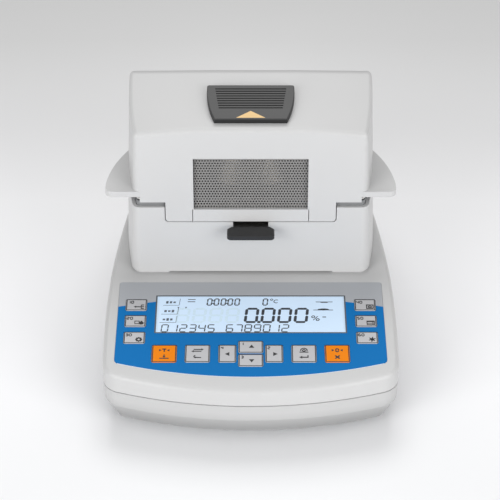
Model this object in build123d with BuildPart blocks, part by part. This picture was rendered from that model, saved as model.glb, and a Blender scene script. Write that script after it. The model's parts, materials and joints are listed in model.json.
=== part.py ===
from build123d import *
import math
import os

os.makedirs("parts", exist_ok=True)

# Halogen moisture analyzer: a balance base with a keypad deck, and a drying chamber whose lid
# hinges at the rear. Millimetres, +Z up, front towards -Y, origin under the middle at table level.

# Base housing
BODY_WIDTH = 206.0
BODY_DEPTH = 333.0
SKIRT_Z = 8.0
BAND_Z = 23.8
SEAM_Z = 36.6
RIM_Z = 50.0
BASE_WALL = 3.0
BASE_DRAFT_PER_LIFT = 0.5
SKIRT_TUCK = 8.0
SEAM_GAP = 0.8
SEAM_REVEAL = 1.0
FRONT_BOW = 19.0
FRONT_CORNER_RADIUS = 16.0
REAR_CORNER_RADIUS = 24.0
REAR_BOW = 4.0
CORNER_LOSS = 1.0
WIDEST_LOSS = 0.05
WIDEST_SETBACK = 75.0
TAPER_SETBACK = 210.0
TAPER_LOSS = 10.4
RIM_ROUND = 3.5
DECK_SLOPE = 5.0
DECK_START = 4.0
DECK_BREAK_SETBACK = 120.0

# Keypad overlay and its openings, measured on the sloping deck from its front edge
OVERLAY_THICK = 0.8
OVERLAY_PROUD = 0.15
OVERLAY_HALF_WIDTH = 94.0
OVERLAY_FRONT = 10.5
OVERLAY_BACK = 109.0
OVERLAY_BOW = 14.0
WINDOW_WIDTH = 134.6
WINDOW_FRONT = 54.9
WINDOW_BACK = 94.6
WINDOW_CORNER = 1.2
KEY_CORNER = 1.3
KEY_GAP = 0.3
KEY_TRAVEL = 0.4
KEY_PROUD = 0.3
KEY_THICK = 1.3
SIDE_KEY_X = 81.2
SIDE_KEY_SIZE = (14.8, 12.0)
SIDE_KEY_ROWS = {"upper": 84.3, "middle": 67.3, "lower": 50.0}
ROW_V = 33.8
SQUARE_KEY_SIZE = (17.0, 17.6)
NARROW_KEY_SIZE = (12.0, 17.6)
WIDE_KEY_SIZE = (17.0, 12.3)
ARROW_SPREAD_X = 16.2
ARROW_SPREAD_V = 6.75
INNER_KEY_X = 36.8
OUTER_KEY_X = 59.8

# Drying chamber, its lower shell and its lid
CHAMBER_SETBACK = 125.3
CHAMBER_BACK_SETBACK = 288.0
CHAMBER_FRONT_HALF = 83.3
CHAMBER_MID_HALF = 89.6
CHAMBER_BACK_HALF = 78.7
CHAMBER_MID_SETBACK = 205.0
CHAMBER_FRONT_RADIUS = 6.0
CHAMBER_BACK_RADIUS = 16.0
CHAMBER_DRAFT = 2.2
CHAMBER_WALL = 2.5
CHAMBER_FOOT_INSET = 1.5
CHAMBER_FOOT_RISE = 2.0
CHAMBER_BOTTOM_Z = 62.1
CHAMBER_RIM_Z = 116.0
CHAMBER_DECK_Z = 101.5
APRON_HALF = 60.5
APRON_Z = 104.4
APRON_GAP = 0.6
LID_EDGE_Z = 120.2
LID_FRONT_TOP_Z = 178.4
LID_RIDGE_Z = 190.0
LID_RIDGE_SETBACK = 192.0
LID_BACK_SLOPE = 34.0
LID_SHOULDER_ANGLE = 5.5
LID_SHOULDER_FRONT = 41.5
LID_SHOULDER_RIDGE = 32.0
WING_HALF_SPAN = 102.9
WING_UNDER_Z = 124.6
WING_TOP_Z = 129.0
WING_ROOT_X = 78.5

# Ventilation grille and the panel under it
GRILLE_HALF = 40.5
GRILLE_LOW_Z = 114.3
GRILLE_HIGH_Z = 155.7
GRILLE_SHEET = 0.8
GRILLE_MARGIN = 2.5
PANEL_SEAT = 7.0
GRILLE_HOLE = 3.6
GRILLE_PITCH = 6.2
PANEL_GROOVE = 0.5

# Lid handle
HANDLE_FRONT = 9.4
HANDLE_LENGTH = 36.6
HANDLE_HEIGHT = 4.2
HANDLE_FRONT_HALF = 25.3
HANDLE_WAIST_HALF = 30.2
HANDLE_WAIST_SETBACK = 20.0
HANDLE_BACK_HALF = 30.6
HANDLE_RIBS = 9
HANDLE_RIB_PITCH = 2.55
HANDLE_GROOVE = 1.2

# Pan, holder and weighing parts
PAN_SETBACK = 197.0
PAN_DIAMETER = 90.0
PAN_FLOOR_DIAMETER = 82.0
PAN_DEPTH = 7.5
PAN_WALL = 0.6
WELL_DIAMETER = 124.0
WELL_FLOOR_Z = 74.0
LINER_THICK = 0.8
HOLDER_Z = 99.5
HOLDER_THICK = 1.5
HOLDER_INNER = 86.0
HOLDER_OUTER = 102.0
HOLDER_NECK_HALF = 12.2
GRIP_HALF = 16.8
GRIP_THICK = 3.5
GRIP_REACH = 15.0
STEM_DIAMETER = 6.0
RUNNING_GAP = 0.06
PAN_TRAVEL = 0.3

# Hinge
HINGE_STANDOFF = 4.6
HINGE_PIN_DIAMETER = 4.0
HINGE_X = 50.0
HINGE_ARM = 14.0
HINGE_SIDE_GAP = 0.3
HINGE_EAR_RADIUS = 4.0
HINGE_EAR_WIDTH = 6.0
HINGE_EAR_DROP = 12.0

# Feet
FOOT_PAD_DIAMETER = 20.0
FOOT_PAD_HEIGHT = 3.0
FOOT_WHEEL_DIAMETER = 26.0
FOOT_WHEEL_HEIGHT = 4.0
FOOT_STEM_DIAMETER = 8.0
FOOT_FRONT_INSET = 37.0
FOOT_BACK_INSET = 47.0
FOOT_FRONT_SETBACK = 48.0
FOOT_BACK_SETBACK = 270.0

# Smaller clearances, walls and inner pieces
SKIRT_STEP = 0.6
PLATE_THICK = 1.5
PLATE_SETUP = 0.5
PLATE_GAP = 0.3
PLATE_CORNER = 8.0
FOOT_BOSS_RADIUS = 8.0
FOOT_BOSS_HEIGHT = 9.0
FOOT_SOCKET_DEPTH = 1.5
FOOT_FACE_GAP = 0.2
FOOT_WHEEL_NOTCHES = 10
FOOT_NOTCH_RADIUS = 1.6
OVERLAY_FRONT_RADIUS = 5.0
OVERLAY_BACK_RADIUS = 2.0
OVERLAY_GAP = 0.15
WINDOW_GAP = 0.15
WINDOW_LEDGE = 2.5
WINDOW_THICK = 0.75
KEY_BEVEL = 0.25
STEM_HOLE_DIAMETER = 16.0
REAR_PANEL_WIDTH = 104.0
REAR_PANEL_HEIGHT = 19.0
REAR_PANEL_LIP = 1.5
REAR_PANEL_DEPTH = 4.0
REAR_PANEL_THICK = 1.5
PORT_GAP = 0.2
PORT_WALL = 1.5
PORT_SHOULDER = 1.5
INLET_X = 32.0
INLET_SIZE = (27.0, 14.0)
INLET_REACH = 1.5
INLET_DEPTH = 18.0
INLET_CORNER = 3.5
INLET_CAVITY = 13.0
INLET_PIN_SPREAD = 6.5
INLET_PIN_LENGTH = 6.0
SERIAL_X = 32.0
SERIAL_SIZE = (31.0, 12.0)
SERIAL_REACH = 1.5
SERIAL_DEPTH = 9.0
SERIAL_CAVITY = 6.0
SERIAL_EAR = 12.0
SERIAL_SCREW_X = 12.5
SERIAL_SCREW_RADIUS = 2.6
SERIAL_SCREW_REACH = 0.8
USB_X = 2.0
USB_SIZE = (14.5, 7.5)
USB_REACH = 0.6
USB_DEPTH = 13.0
USB_WALL = 0.6
USB_CAVITY = 9.0
USB_TONGUE = 1.6
USB_TONGUE_LIFT = 1.2
MODULE_MARGIN = 2.0
MODULE_THICK = 5.0
MODULE_GAP = 0.3
MODULE_RISE = 1.2
BOARD_THICK = 1.6
BOARD_WIDTH = 176.0
BOARD_FRONT = 22.0
STANDOFF = 5.0
MAIN_BOARD_X = -36.0
MAIN_BOARD_Y = -58.0
MAIN_BOARD_SIZE = (84.0, 70.0)
CHIP_SIZE = (14.0, 10.0, 2.2)
CHIP_PITCH = (24.0, 18.0)
SUPPLY_X = 48.0
SUPPLY_Y = -58.0
SUPPLY_SIZE = (56.0, 70.0, 20.0)
CELL_WIDTH = 36.0
CELL_HEIGHT = 26.0
CELL_REAR_ROOM = 31.0
CELL_LIFT = 3.0
CELL_NOSE = 15.0
CELL_FIXED = 30.0
CELL_BORE_RADIUS = 7.0
CELL_BORE_SPREAD = 34.0
CELL_SLOT = 3.0
CELL_SOCKET = 6.0
LIP_SEAT = 2.5
LIP_SEAT_Z = 112.5
FOOT_BREAK_HALF = 59.0
FRONT_CUT_DEPTH = 30.0
NOTCH_RADIUS = 2.5
NECK_GAP = 0.4
LIP_GAP = 0.3
LIP_TOP_Z = 119.8
LINER_GAP = 0.3
LINER_BORE = 8.0
LINER_LIP = 3.0
GRIP_STANDOFF = 2.5
GRIP_SHOULDER = 3.0
GRIP_CORNER = 3.0
GRIP_BEVEL = 0.6
PAN_LIFT = 1.2
CROSS_REACH = 36.0
CROSS_WIDTH = 5.0
WING_FRONT_STEP = 0.4
WING_TIP_SETBACK = 136.0
WING_BACK_SETBACK = 181.0
WING_MID_HALF = 98.6
WING_BACK_HALF = 89.0
WING_CORNER_RADIUS = 5.0
LID_RIDGE_ROUND = 12.0
LID_BORDER_ROUND = 3.5
PANEL_HALF = 41.5
HANDLE_BACK_RADIUS = 1.5
HANDLE_BEVEL = 0.6
HANDLE_RIB_MARGIN = 4.5
HANDLE_RIB_HALF = 25.0
HANDLE_RIB_TAPER = 0.33
HANDLE_GROOVE_DEPTH = 1.0
INLAY_FRONT = 1.1
INLAY_HALF = 10.3
INLAY_RISE = 7.3
INLAY_DEPTH = 0.4
FRAME_Z = 121.2
FRAME_THICK = 1.2
GLASS_RADIUS = 54.0
GLASS_THICK = 2.0
RETAINER_THICK = 1.2
DISH_WALL = 1.0
DISH_SKIRT = 1.5
DISH_FLANGE = 4.0
DISH_TOP_RADIUS = 42.0
DISH_HEIGHT = 26.0
TUBE_LIFT = 14.0
TUBE_SPREAD = 14.0
TUBE_RADIUS = 5.0
TUBE_HALF = 28.0
HOLDER_BLOCK = 6.0
PROBE_RADIUS = 2.0
PROBE_GAP = 2.0
LEDGE_THICK = 2.5
LEDGE_REACH = 9.0
SCREW_RADIUS = 1.5
SCREW_HEAD_RADIUS = 2.8
SCREW_HEAD = 1.6
SCREW_LENGTH = 3.5
SCREW_INSET = 6.3
SCREW_X = 85.6
SCREW_SIDE_SETBACK = 120.0

HALF_WIDTH = BODY_WIDTH / 2
FRONT_Y = -BODY_DEPTH / 2
BACK_Y = BODY_DEPTH / 2
PAN_Y = FRONT_Y + PAN_SETBACK
CHAMBER_Y = FRONT_Y + CHAMBER_SETBACK
CHAMBER_BACK_Y = FRONT_Y + CHAMBER_BACK_SETBACK
RIDGE_Y = FRONT_Y + LID_RIDGE_SETBACK
HINGE_Y = CHAMBER_BACK_Y + HINGE_STANDOFF
HINGE_Z = (CHAMBER_RIM_Z + LID_EDGE_Z) / 2
BREAK_Y = FRONT_Y + DECK_BREAK_SETBACK
DECK_Z = RIM_Z + (DECK_BREAK_SETBACK - DECK_START) * math.tan(math.radians(DECK_SLOPE))
BIG = 400.0


def save(part, name):
    """Names a finished piece and writes its STEP file."""
    part.label = name
    export_step(part, f"parts/{name}.step")


def plan_at(z):
    """Level plane at a height."""
    return Plane.XY.offset(z)


def deck_plane(lift=0.0):
    """Plane of the sloping deck, raised along its normal."""
    tilt = math.radians(DECK_SLOPE)
    start = Vector(0, FRONT_Y + DECK_START, RIM_Z)
    normal = Vector(0, -math.sin(tilt), math.cos(tilt))
    return Plane(origin=start + normal * lift, x_dir=(1, 0, 0), z_dir=normal)


def base_outline(plane, inset, front_corner=0.0):
    """Plan of the base: bowed front, sides that narrow to the rear, rounded corners."""
    front_corner = front_corner or FRONT_CORNER_RADIUS - inset
    with BuildSketch(plane) as outline:
        with BuildLine():
            corner = (HALF_WIDTH - CORNER_LOSS, FRONT_Y + FRONT_BOW)
            mirror_corner = (-corner[0], corner[1])
            ThreePointArc(mirror_corner, (0, FRONT_Y), corner)
            widest = (HALF_WIDTH - WIDEST_LOSS, FRONT_Y + WIDEST_SETBACK)
            taper = (HALF_WIDTH - TAPER_LOSS, FRONT_Y + TAPER_SETBACK)
            side = ThreePointArc(corner, widest, taper)
            run = (BACK_Y - REAR_BOW - taper[1]) / (side % 1).Y
            flank = Line(side @ 1, side @ 1 + (side % 1) * run)
            rear = flank @ 1
            ThreePointArc(rear, (0, BACK_Y), (-rear.X, rear.Y))
            Line((-rear.X, rear.Y), (-taper[0], taper[1]))
            ThreePointArc((-taper[0], taper[1]), (-widest[0], widest[1]), mirror_corner)
        make_face()
        if inset > 0:
            offset(amount=-inset, mode=Mode.REPLACE)
        fillet(outline.vertices().group_by(Axis.Y)[0], front_corner)
        fillet(outline.vertices().group_by(Axis.Y)[-1], REAR_CORNER_RADIUS - inset)
    return outline.sketch


def chamber_inset(z):
    """Inset of the chamber's drafted wall at a height, zero at the lower shell's rim."""
    return (z - CHAMBER_RIM_Z) * math.tan(math.radians(CHAMBER_DRAFT))


def chamber_outline(z, inset=0.0):
    """Plan of the drying chamber at a height: flat front, barrel sides."""
    with BuildSketch(plan_at(z)) as outline:
        with BuildLine():
            front = (CHAMBER_FRONT_HALF, CHAMBER_Y)
            middle = (CHAMBER_MID_HALF, FRONT_Y + CHAMBER_MID_SETBACK)
            back = (CHAMBER_BACK_HALF, CHAMBER_BACK_Y)
            Line((-front[0], front[1]), front)
            ThreePointArc(front, middle, back)
            Line(back, (-back[0], back[1]))
            ThreePointArc((-back[0], back[1]), (-middle[0], middle[1]), (-front[0], front[1]))
        make_face()
        fillet(outline.vertices().group_by(Axis.Y)[0], CHAMBER_FRONT_RADIUS)
        fillet(outline.vertices().group_by(Axis.Y)[-1], CHAMBER_BACK_RADIUS)
        offset(amount=-(inset + chamber_inset(z)), mode=Mode.REPLACE)
    return outline.sketch


# Profile of everything above the base's deck, from the side
def above_deck(drop):
    """Side profile of the room above the deck, lowered by a wall."""
    slope = math.tan(math.radians(DECK_SLOPE))
    ahead = 20.0
    with BuildSketch(Plane.YZ.offset(-BIG / 2)) as profile:
        with BuildLine():
            Polyline(
                (FRONT_Y - ahead, RIM_Z - (ahead + DECK_START) * slope - drop),
                (BREAK_Y, DECK_Z - drop),
                (BACK_Y + ahead, DECK_Z - drop),
                (BACK_Y + ahead, DECK_Z + ahead),
                (FRONT_Y - ahead, DECK_Z + ahead),
                close=True,
            )
        make_face()
    return profile.sketch


# Lower housing: a tub with a white band, a tucked-in skirt and a step that carries the upper housing
LOWER_TOP_Z = SEAM_Z - SEAM_GAP / 2
PLATE_TOP_Z = SKIRT_Z + PLATE_SETUP + PLATE_THICK
PLATE_Z = SKIRT_Z + PLATE_SETUP
UPPER_BOTTOM_Z = SEAM_Z + SEAM_GAP / 2
BAND_INSET = 2 * BASE_DRAFT_PER_LIFT
SKIRT_TOP_INSET = BAND_INSET + SKIRT_STEP
SKIRT_INSET = SKIRT_TOP_INSET + SKIRT_TUCK

SCREW_SPOTS = [
    (0, FRONT_Y + SKIRT_INSET + SCREW_INSET),
    (0, BACK_Y - SKIRT_INSET - SCREW_INSET),
    (-SCREW_X, FRONT_Y + SCREW_SIDE_SETBACK),
    (SCREW_X, FRONT_Y + SCREW_SIDE_SETBACK),
]


def skirt_ledge():
    """Ledge round the inside of the skirt, which the base plate is screwed up against."""
    with BuildPart() as ledge:
        extrude(base_outline(plan_at(PLATE_TOP_Z), SKIRT_INSET + BASE_WALL / 2), amount=LEDGE_THICK)
        bore = base_outline(plan_at(PLATE_TOP_Z), SKIRT_INSET + LEDGE_REACH, PLATE_CORNER)
        extrude(bore, amount=LEDGE_THICK, mode=Mode.SUBTRACT)
    return ledge.part


with BuildPart() as lower_housing:
    loft([base_outline(plan_at(SKIRT_Z), SKIRT_INSET), base_outline(plan_at(BAND_Z), SKIRT_TOP_INSET)])
    loft([base_outline(plan_at(BAND_Z), BAND_INSET), base_outline(plan_at(LOWER_TOP_Z), BASE_DRAFT_PER_LIFT)])
    extrude(base_outline(plan_at(LOWER_TOP_Z), BASE_DRAFT_PER_LIFT + SEAM_REVEAL), amount=SEAM_GAP)
    loft(
        [base_outline(plan_at(SKIRT_Z), SKIRT_INSET + BASE_WALL),
         base_outline(plan_at(BAND_Z), SKIRT_TOP_INSET + BASE_WALL)],
        mode=Mode.SUBTRACT,
    )
    inner = base_outline(plan_at(BAND_Z), SKIRT_TOP_INSET + BASE_WALL)
    extrude(inner, amount=UPPER_BOTTOM_Z - BAND_Z, mode=Mode.SUBTRACT)
    add(skirt_ledge())
    with Locations([(x, y, PLATE_TOP_Z) for x, y in SCREW_SPOTS]):
        Cylinder(
            SCREW_RADIUS + RUNNING_GAP, LEDGE_THICK,
            align=(Align.CENTER, Align.CENTER, Align.MIN), mode=Mode.SUBTRACT,
        )
save(lower_housing.part, "lower_housing")

# Base plate: a steel sheet inside the skirt, with a boss for each foot's thread
FOOT_FRONT_X = HALF_WIDTH - FOOT_FRONT_INSET
FOOT_BACK_X = HALF_WIDTH - FOOT_BACK_INSET
FOOT_SPOTS = {
    "front_left": (-FOOT_FRONT_X, FRONT_Y + FOOT_FRONT_SETBACK),
    "front_right": (FOOT_FRONT_X, FRONT_Y + FOOT_FRONT_SETBACK),
    "back_left": (-FOOT_BACK_X, FRONT_Y + FOOT_BACK_SETBACK),
    "back_right": (FOOT_BACK_X, FRONT_Y + FOOT_BACK_SETBACK),
}
STEM_TOP_Z = PLATE_Z + PLATE_THICK + FOOT_BOSS_HEIGHT - 1.0


with BuildPart() as base_plate:
    plate_inset = SKIRT_INSET + BASE_WALL + PLATE_GAP
    extrude(base_outline(plan_at(PLATE_Z), plate_inset, PLATE_CORNER), amount=PLATE_THICK)
    with Locations([(x, y, PLATE_Z + PLATE_THICK) for x, y in FOOT_SPOTS.values()]):
        Cylinder(FOOT_BOSS_RADIUS, FOOT_BOSS_HEIGHT, align=(Align.CENTER, Align.CENTER, Align.MIN))
    with Locations([(x, y, PLATE_Z) for x, y in FOOT_SPOTS.values()]):
        hole_depth = PLATE_THICK + FOOT_BOSS_HEIGHT + 1.0
        Cylinder(
            FOOT_STEM_DIAMETER / 2 + RUNNING_GAP, hole_depth,
            align=(Align.CENTER, Align.CENTER, Align.MIN), mode=Mode.SUBTRACT,
        )
    with Locations([(x, y, PLATE_Z - 1) for x, y in SCREW_SPOTS]):
        Cylinder(
            SCREW_RADIUS + RUNNING_GAP, PLATE_THICK + 2,
            align=(Align.CENTER, Align.CENTER, Align.MIN), mode=Mode.SUBTRACT,
        )
save(base_plate.part, "base_plate")

# Screws that hold the plate up against the skirt's ledge
with BuildPart() as housing_screws:
    with Locations([(x, y, PLATE_Z) for x, y in SCREW_SPOTS]):
        Cylinder(SCREW_HEAD_RADIUS, SCREW_HEAD, align=(Align.CENTER, Align.CENTER, Align.MAX))
        Cylinder(SCREW_RADIUS, SCREW_LENGTH, align=(Align.CENTER, Align.CENTER, Align.MIN))
save(housing_screws.part, "housing_screws")

# Levelling feet: a rubber pad that stays on the table and a thumbwheel screw that turns in it
for spot, (x, y) in FOOT_SPOTS.items():
    with BuildPart() as pad:
        with Locations((x, y, 0)):
            Cylinder(FOOT_PAD_DIAMETER / 2, FOOT_PAD_HEIGHT, align=(Align.CENTER, Align.CENTER, Align.MIN))
        chamfer(pad.edges().group_by(Axis.Z)[0], 0.8)
        with Locations((x, y, FOOT_PAD_HEIGHT - FOOT_SOCKET_DEPTH)):
            Cylinder(
                FOOT_STEM_DIAMETER / 2 + RUNNING_GAP, FOOT_SOCKET_DEPTH,
                align=(Align.CENTER, Align.CENTER, Align.MIN), mode=Mode.SUBTRACT,
            )
    save(pad.part, f"{spot}_foot_pad")

    with BuildPart() as screw:
        with Locations((x, y, FOOT_PAD_HEIGHT + FOOT_FACE_GAP)):
            Cylinder(
                FOOT_WHEEL_DIAMETER / 2, FOOT_WHEEL_HEIGHT,
                align=(Align.CENTER, Align.CENTER, Align.MIN),
            )
        grip_z = FOOT_PAD_HEIGHT + FOOT_FACE_GAP
        with BuildSketch(plan_at(grip_z)):
            with Locations((x, y)):
                with PolarLocations(FOOT_WHEEL_DIAMETER / 2, FOOT_WHEEL_NOTCHES):
                    Circle(FOOT_NOTCH_RADIUS)
        extrude(amount=FOOT_WHEEL_HEIGHT, mode=Mode.SUBTRACT)
        stem_z = FOOT_PAD_HEIGHT - FOOT_SOCKET_DEPTH + RUNNING_GAP
        with Locations((x, y, stem_z)):
            Cylinder(
                FOOT_STEM_DIAMETER / 2, STEM_TOP_Z - stem_z,
                align=(Align.CENTER, Align.CENTER, Align.MIN),
            )
    save(screw.part, f"{spot}_foot_screw")


# Keypad layout: name, centre and size of each key, and the key outline on the deck
KEYS = {}
for row, row_v in SIDE_KEY_ROWS.items():
    KEYS[f"left_{row}_key"] = (-SIDE_KEY_X, row_v, SIDE_KEY_SIZE)
    KEYS[f"right_{row}_key"] = (SIDE_KEY_X, row_v, SIDE_KEY_SIZE)
KEYS["tare_key"] = (-OUTER_KEY_X, ROW_V, SQUARE_KEY_SIZE)
KEYS["units_key"] = (-INNER_KEY_X, ROW_V, SQUARE_KEY_SIZE)
KEYS["arrow_left_key"] = (-ARROW_SPREAD_X, ROW_V, NARROW_KEY_SIZE)
KEYS["arrow_up_key"] = (0, ROW_V + ARROW_SPREAD_V, WIDE_KEY_SIZE)
KEYS["arrow_down_key"] = (0, ROW_V - ARROW_SPREAD_V, WIDE_KEY_SIZE)
KEYS["arrow_right_key"] = (ARROW_SPREAD_X, ROW_V, NARROW_KEY_SIZE)
KEYS["enter_key"] = (INNER_KEY_X, ROW_V, SQUARE_KEY_SIZE)
KEYS["zero_key"] = (OUTER_KEY_X, ROW_V, SQUARE_KEY_SIZE)


def key_outline(lift, spot, margin):
    """Rounded outline of one key on the deck, grown by a margin."""
    x, v, (width, height) = spot
    with BuildSketch(deck_plane(lift)) as outline:
        with Locations((x, v)):
            RectangleRounded(width + 2 * margin, height + 2 * margin, KEY_CORNER + margin)
    return outline.sketch


def overlay_outline(lift, margin):
    """Outline of the keypad overlay on the deck: straight back, bowed front."""
    with BuildSketch(deck_plane(lift)) as outline:
        with BuildLine():
            side = OVERLAY_HALF_WIDTH
            corner = OVERLAY_FRONT + OVERLAY_BOW
            ThreePointArc((-side, corner), (0, OVERLAY_FRONT), (side, corner))
            Polyline((side, corner), (side, OVERLAY_BACK), (-side, OVERLAY_BACK), (-side, corner))
        make_face()
        fillet(outline.vertices().group_by(Axis.Y)[0], OVERLAY_FRONT_RADIUS)
        fillet(outline.vertices().group_by(Axis.Y)[-1], OVERLAY_BACK_RADIUS)
        offset(amount=margin, mode=Mode.REPLACE)
    return outline.sketch


def window_outline(lift, margin):
    """Outline of the display window on the deck, grown by a margin."""
    with BuildSketch(deck_plane(lift)) as outline:
        with Locations((0, (WINDOW_FRONT + WINDOW_BACK) / 2)):
            Rectangle(WINDOW_WIDTH + 2 * margin, WINDOW_BACK - WINDOW_FRONT + 2 * margin)
        fillet(outline.vertices(), WINDOW_CORNER)
    return outline.sketch


# Upper housing: the sloping keypad deck and the level part under the chamber
OVERLAY_SEAT = OVERLAY_PROUD - OVERLAY_THICK
KEY_TOP = OVERLAY_PROUD + KEY_PROUD
KEY_POCKET = KEY_TOP - KEY_THICK - KEY_TRAVEL - KEY_GAP / 2
PANEL_Z = (UPPER_BOTTOM_Z + DECK_Z) / 2


def upper_hollow():
    """Room inside the upper housing, one wall thickness in."""
    with BuildPart() as hollow:
        extrude(base_outline(plan_at(UPPER_BOTTOM_Z), BASE_WALL + BASE_DRAFT_PER_LIFT), amount=DECK_Z)
        extrude(above_deck(BASE_WALL), amount=BIG, mode=Mode.SUBTRACT)
    return hollow.part


with BuildPart() as upper_housing:
    loft([base_outline(plan_at(UPPER_BOTTOM_Z), BASE_DRAFT_PER_LIFT), base_outline(plan_at(DECK_Z + 2), 0)])
    extrude(above_deck(0), amount=BIG, mode=Mode.SUBTRACT)
    tops = upper_housing.faces().filter_by(lambda face: face.normal_at().Z > 0.9)
    rim = tops.edges().filter_by(lambda edge: abs(edge.center().X) > 1 or abs(edge.center().Y - BREAK_Y) > 1)
    fillet(rim, RIM_ROUND)
    add(upper_hollow(), mode=Mode.SUBTRACT)
    extrude(overlay_outline(OVERLAY_SEAT, OVERLAY_GAP), amount=5, mode=Mode.SUBTRACT)
    for spot in KEYS.values():
        extrude(key_outline(KEY_POCKET, spot, KEY_GAP), amount=5, mode=Mode.SUBTRACT)
    extrude(window_outline(-2 * BASE_WALL, -WINDOW_LEDGE), amount=5 * BASE_WALL, mode=Mode.SUBTRACT)
    with Locations((0, PAN_Y, DECK_Z - 2 * BASE_WALL)):
        Cylinder(
            STEM_HOLE_DIAMETER / 2, 4 * BASE_WALL,
            align=(Align.CENTER, Align.CENTER, Align.MIN), mode=Mode.SUBTRACT,
        )
    with Locations((0, BACK_Y, PANEL_Z)):
        Box(REAR_PANEL_WIDTH - 2 * REAR_PANEL_LIP, 4 * BASE_WALL + 2 * REAR_BOW,
            REAR_PANEL_HEIGHT - 2 * REAR_PANEL_LIP, mode=Mode.SUBTRACT)
    with Locations((0, BACK_Y - REAR_PANEL_DEPTH, PANEL_Z)):
        Box(REAR_PANEL_WIDTH + 2 * PLATE_GAP, 2 * REAR_BOW, REAR_PANEL_HEIGHT + 2 * PLATE_GAP,
            align=(Align.CENTER, Align.MIN, Align.CENTER), mode=Mode.SUBTRACT)
save(upper_housing.part, "upper_housing")

# Rear panel with the mains inlet and the data sockets
PANEL_Y = BACK_Y - REAR_PANEL_DEPTH
PANEL_FACE_Y = PANEL_Y + REAR_PANEL_THICK
PORTS = {"serial": (-SERIAL_X, SERIAL_SIZE), "usb": (-USB_X, USB_SIZE), "inlet": (INLET_X, INLET_SIZE)}

with BuildPart() as rear_panel:
    with Locations((0, PANEL_Y, PANEL_Z)):
        Box(REAR_PANEL_WIDTH, REAR_PANEL_THICK, REAR_PANEL_HEIGHT, align=(Align.CENTER, Align.MIN, Align.CENTER))
    for x, (width, height) in PORTS.values():
        with Locations((x, PANEL_Y, PANEL_Z)):
            Box(width + 2 * PORT_GAP, 4 * REAR_PANEL_THICK, height + 2 * PORT_GAP, mode=Mode.SUBTRACT)
save(rear_panel.part, "rear_panel")


def socket_body(x, size, reach, depth):
    """Block of a socket: a collar outside the panel's back and a larger body behind it."""
    width, height = size
    with BuildPart() as body:
        with Locations((x, PANEL_FACE_Y + reach, PANEL_Z)):
            Box(width, reach + REAR_PANEL_THICK, height, align=(Align.CENTER, Align.MAX, Align.CENTER))
        with Locations((x, PANEL_Y, PANEL_Z)):
            Box(width + 2 * PORT_SHOULDER, depth, height + PORT_SHOULDER,
                align=(Align.CENTER, Align.MAX, Align.CENTER))
    return body.part


with BuildPart() as mains_inlet:
    add(socket_body(INLET_X, INLET_SIZE, INLET_REACH, INLET_DEPTH))
    mouth = Plane(origin=(INLET_X, PANEL_FACE_Y + INLET_REACH, PANEL_Z), x_dir=(-1, 0, 0), z_dir=(0, 1, 0))
    with BuildSketch(mouth) as cavity:
        Rectangle(INLET_SIZE[0] - 2 * PORT_WALL, INLET_SIZE[1] - 2 * PORT_WALL)
        chamfer(cavity.vertices().group_by(Axis.Y)[-1], INLET_CORNER)
    extrude(amount=-INLET_CAVITY, mode=Mode.SUBTRACT)
    with BuildSketch(mouth.offset(-INLET_CAVITY)):
        with Locations((-INLET_PIN_SPREAD, -1.5), (0, 1.5), (INLET_PIN_SPREAD, -1.5)):
            Rectangle(2.0, 4.0)
    extrude(amount=INLET_PIN_LENGTH)
save(mains_inlet.part, "mains_inlet")

with BuildPart() as serial_port:
    add(socket_body(-SERIAL_X, SERIAL_SIZE, SERIAL_REACH, SERIAL_DEPTH))
    mouth = Plane(origin=(-SERIAL_X, PANEL_FACE_Y + SERIAL_REACH, PANEL_Z), x_dir=(-1, 0, 0), z_dir=(0, 1, 0))
    with BuildSketch(mouth) as shell:
        Trapezoid(SERIAL_SIZE[0] - 2 * PORT_WALL - SERIAL_EAR, SERIAL_SIZE[1] - 2 * PORT_WALL, 80, 80)
    extrude(amount=-SERIAL_CAVITY, mode=Mode.SUBTRACT)
    with BuildSketch(mouth):
        with Locations((-SERIAL_SCREW_X, 0), (SERIAL_SCREW_X, 0)):
            RegularPolygon(SERIAL_SCREW_RADIUS, 6)
    extrude(amount=SERIAL_SCREW_REACH)
save(serial_port.part, "serial_port")

with BuildPart() as usb_ports:
    add(socket_body(-USB_X, USB_SIZE, USB_REACH, USB_DEPTH))
    mouth = Plane(origin=(-USB_X, PANEL_FACE_Y + USB_REACH, PANEL_Z), x_dir=(-1, 0, 0), z_dir=(0, 1, 0))
    with BuildSketch(mouth):
        Rectangle(USB_SIZE[0] - 2 * USB_WALL, USB_SIZE[1] - 2 * USB_WALL)
    extrude(amount=-USB_CAVITY, mode=Mode.SUBTRACT)
    with BuildSketch(mouth.offset(-USB_CAVITY)):
        with Locations((0, USB_TONGUE_LIFT)):
            Rectangle(USB_SIZE[0] - 4 * USB_WALL, USB_TONGUE)
    extrude(amount=USB_CAVITY - 1.0)
save(usb_ports.part, "usb_ports")

# Keypad overlay, display window and keys
with BuildPart() as keypad_overlay:
    extrude(overlay_outline(OVERLAY_SEAT, 0), amount=OVERLAY_THICK)
    for spot in KEYS.values():
        extrude(key_outline(OVERLAY_SEAT, spot, KEY_GAP), amount=OVERLAY_THICK, mode=Mode.SUBTRACT)
    extrude(window_outline(OVERLAY_SEAT, WINDOW_GAP), amount=OVERLAY_THICK, mode=Mode.SUBTRACT)
save(keypad_overlay.part, "keypad_overlay")

with BuildPart() as display_window:
    extrude(window_outline(OVERLAY_SEAT, 0), amount=WINDOW_THICK)
save(display_window.part, "display_window")

for key_name, spot in KEYS.items():
    with BuildPart() as key:
        extrude(key_outline(KEY_TOP - KEY_THICK, spot, 0), amount=KEY_THICK)
        top_edges = key.faces().sort_by(Axis.Z)[-1].edges()
        chamfer(top_edges, KEY_BEVEL)
    save(key.part, key_name)

# Display module under the window, and the keypad board under the deck
MODULE_TOP = -BASE_WALL / math.cos(math.radians(DECK_SLOPE))

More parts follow.
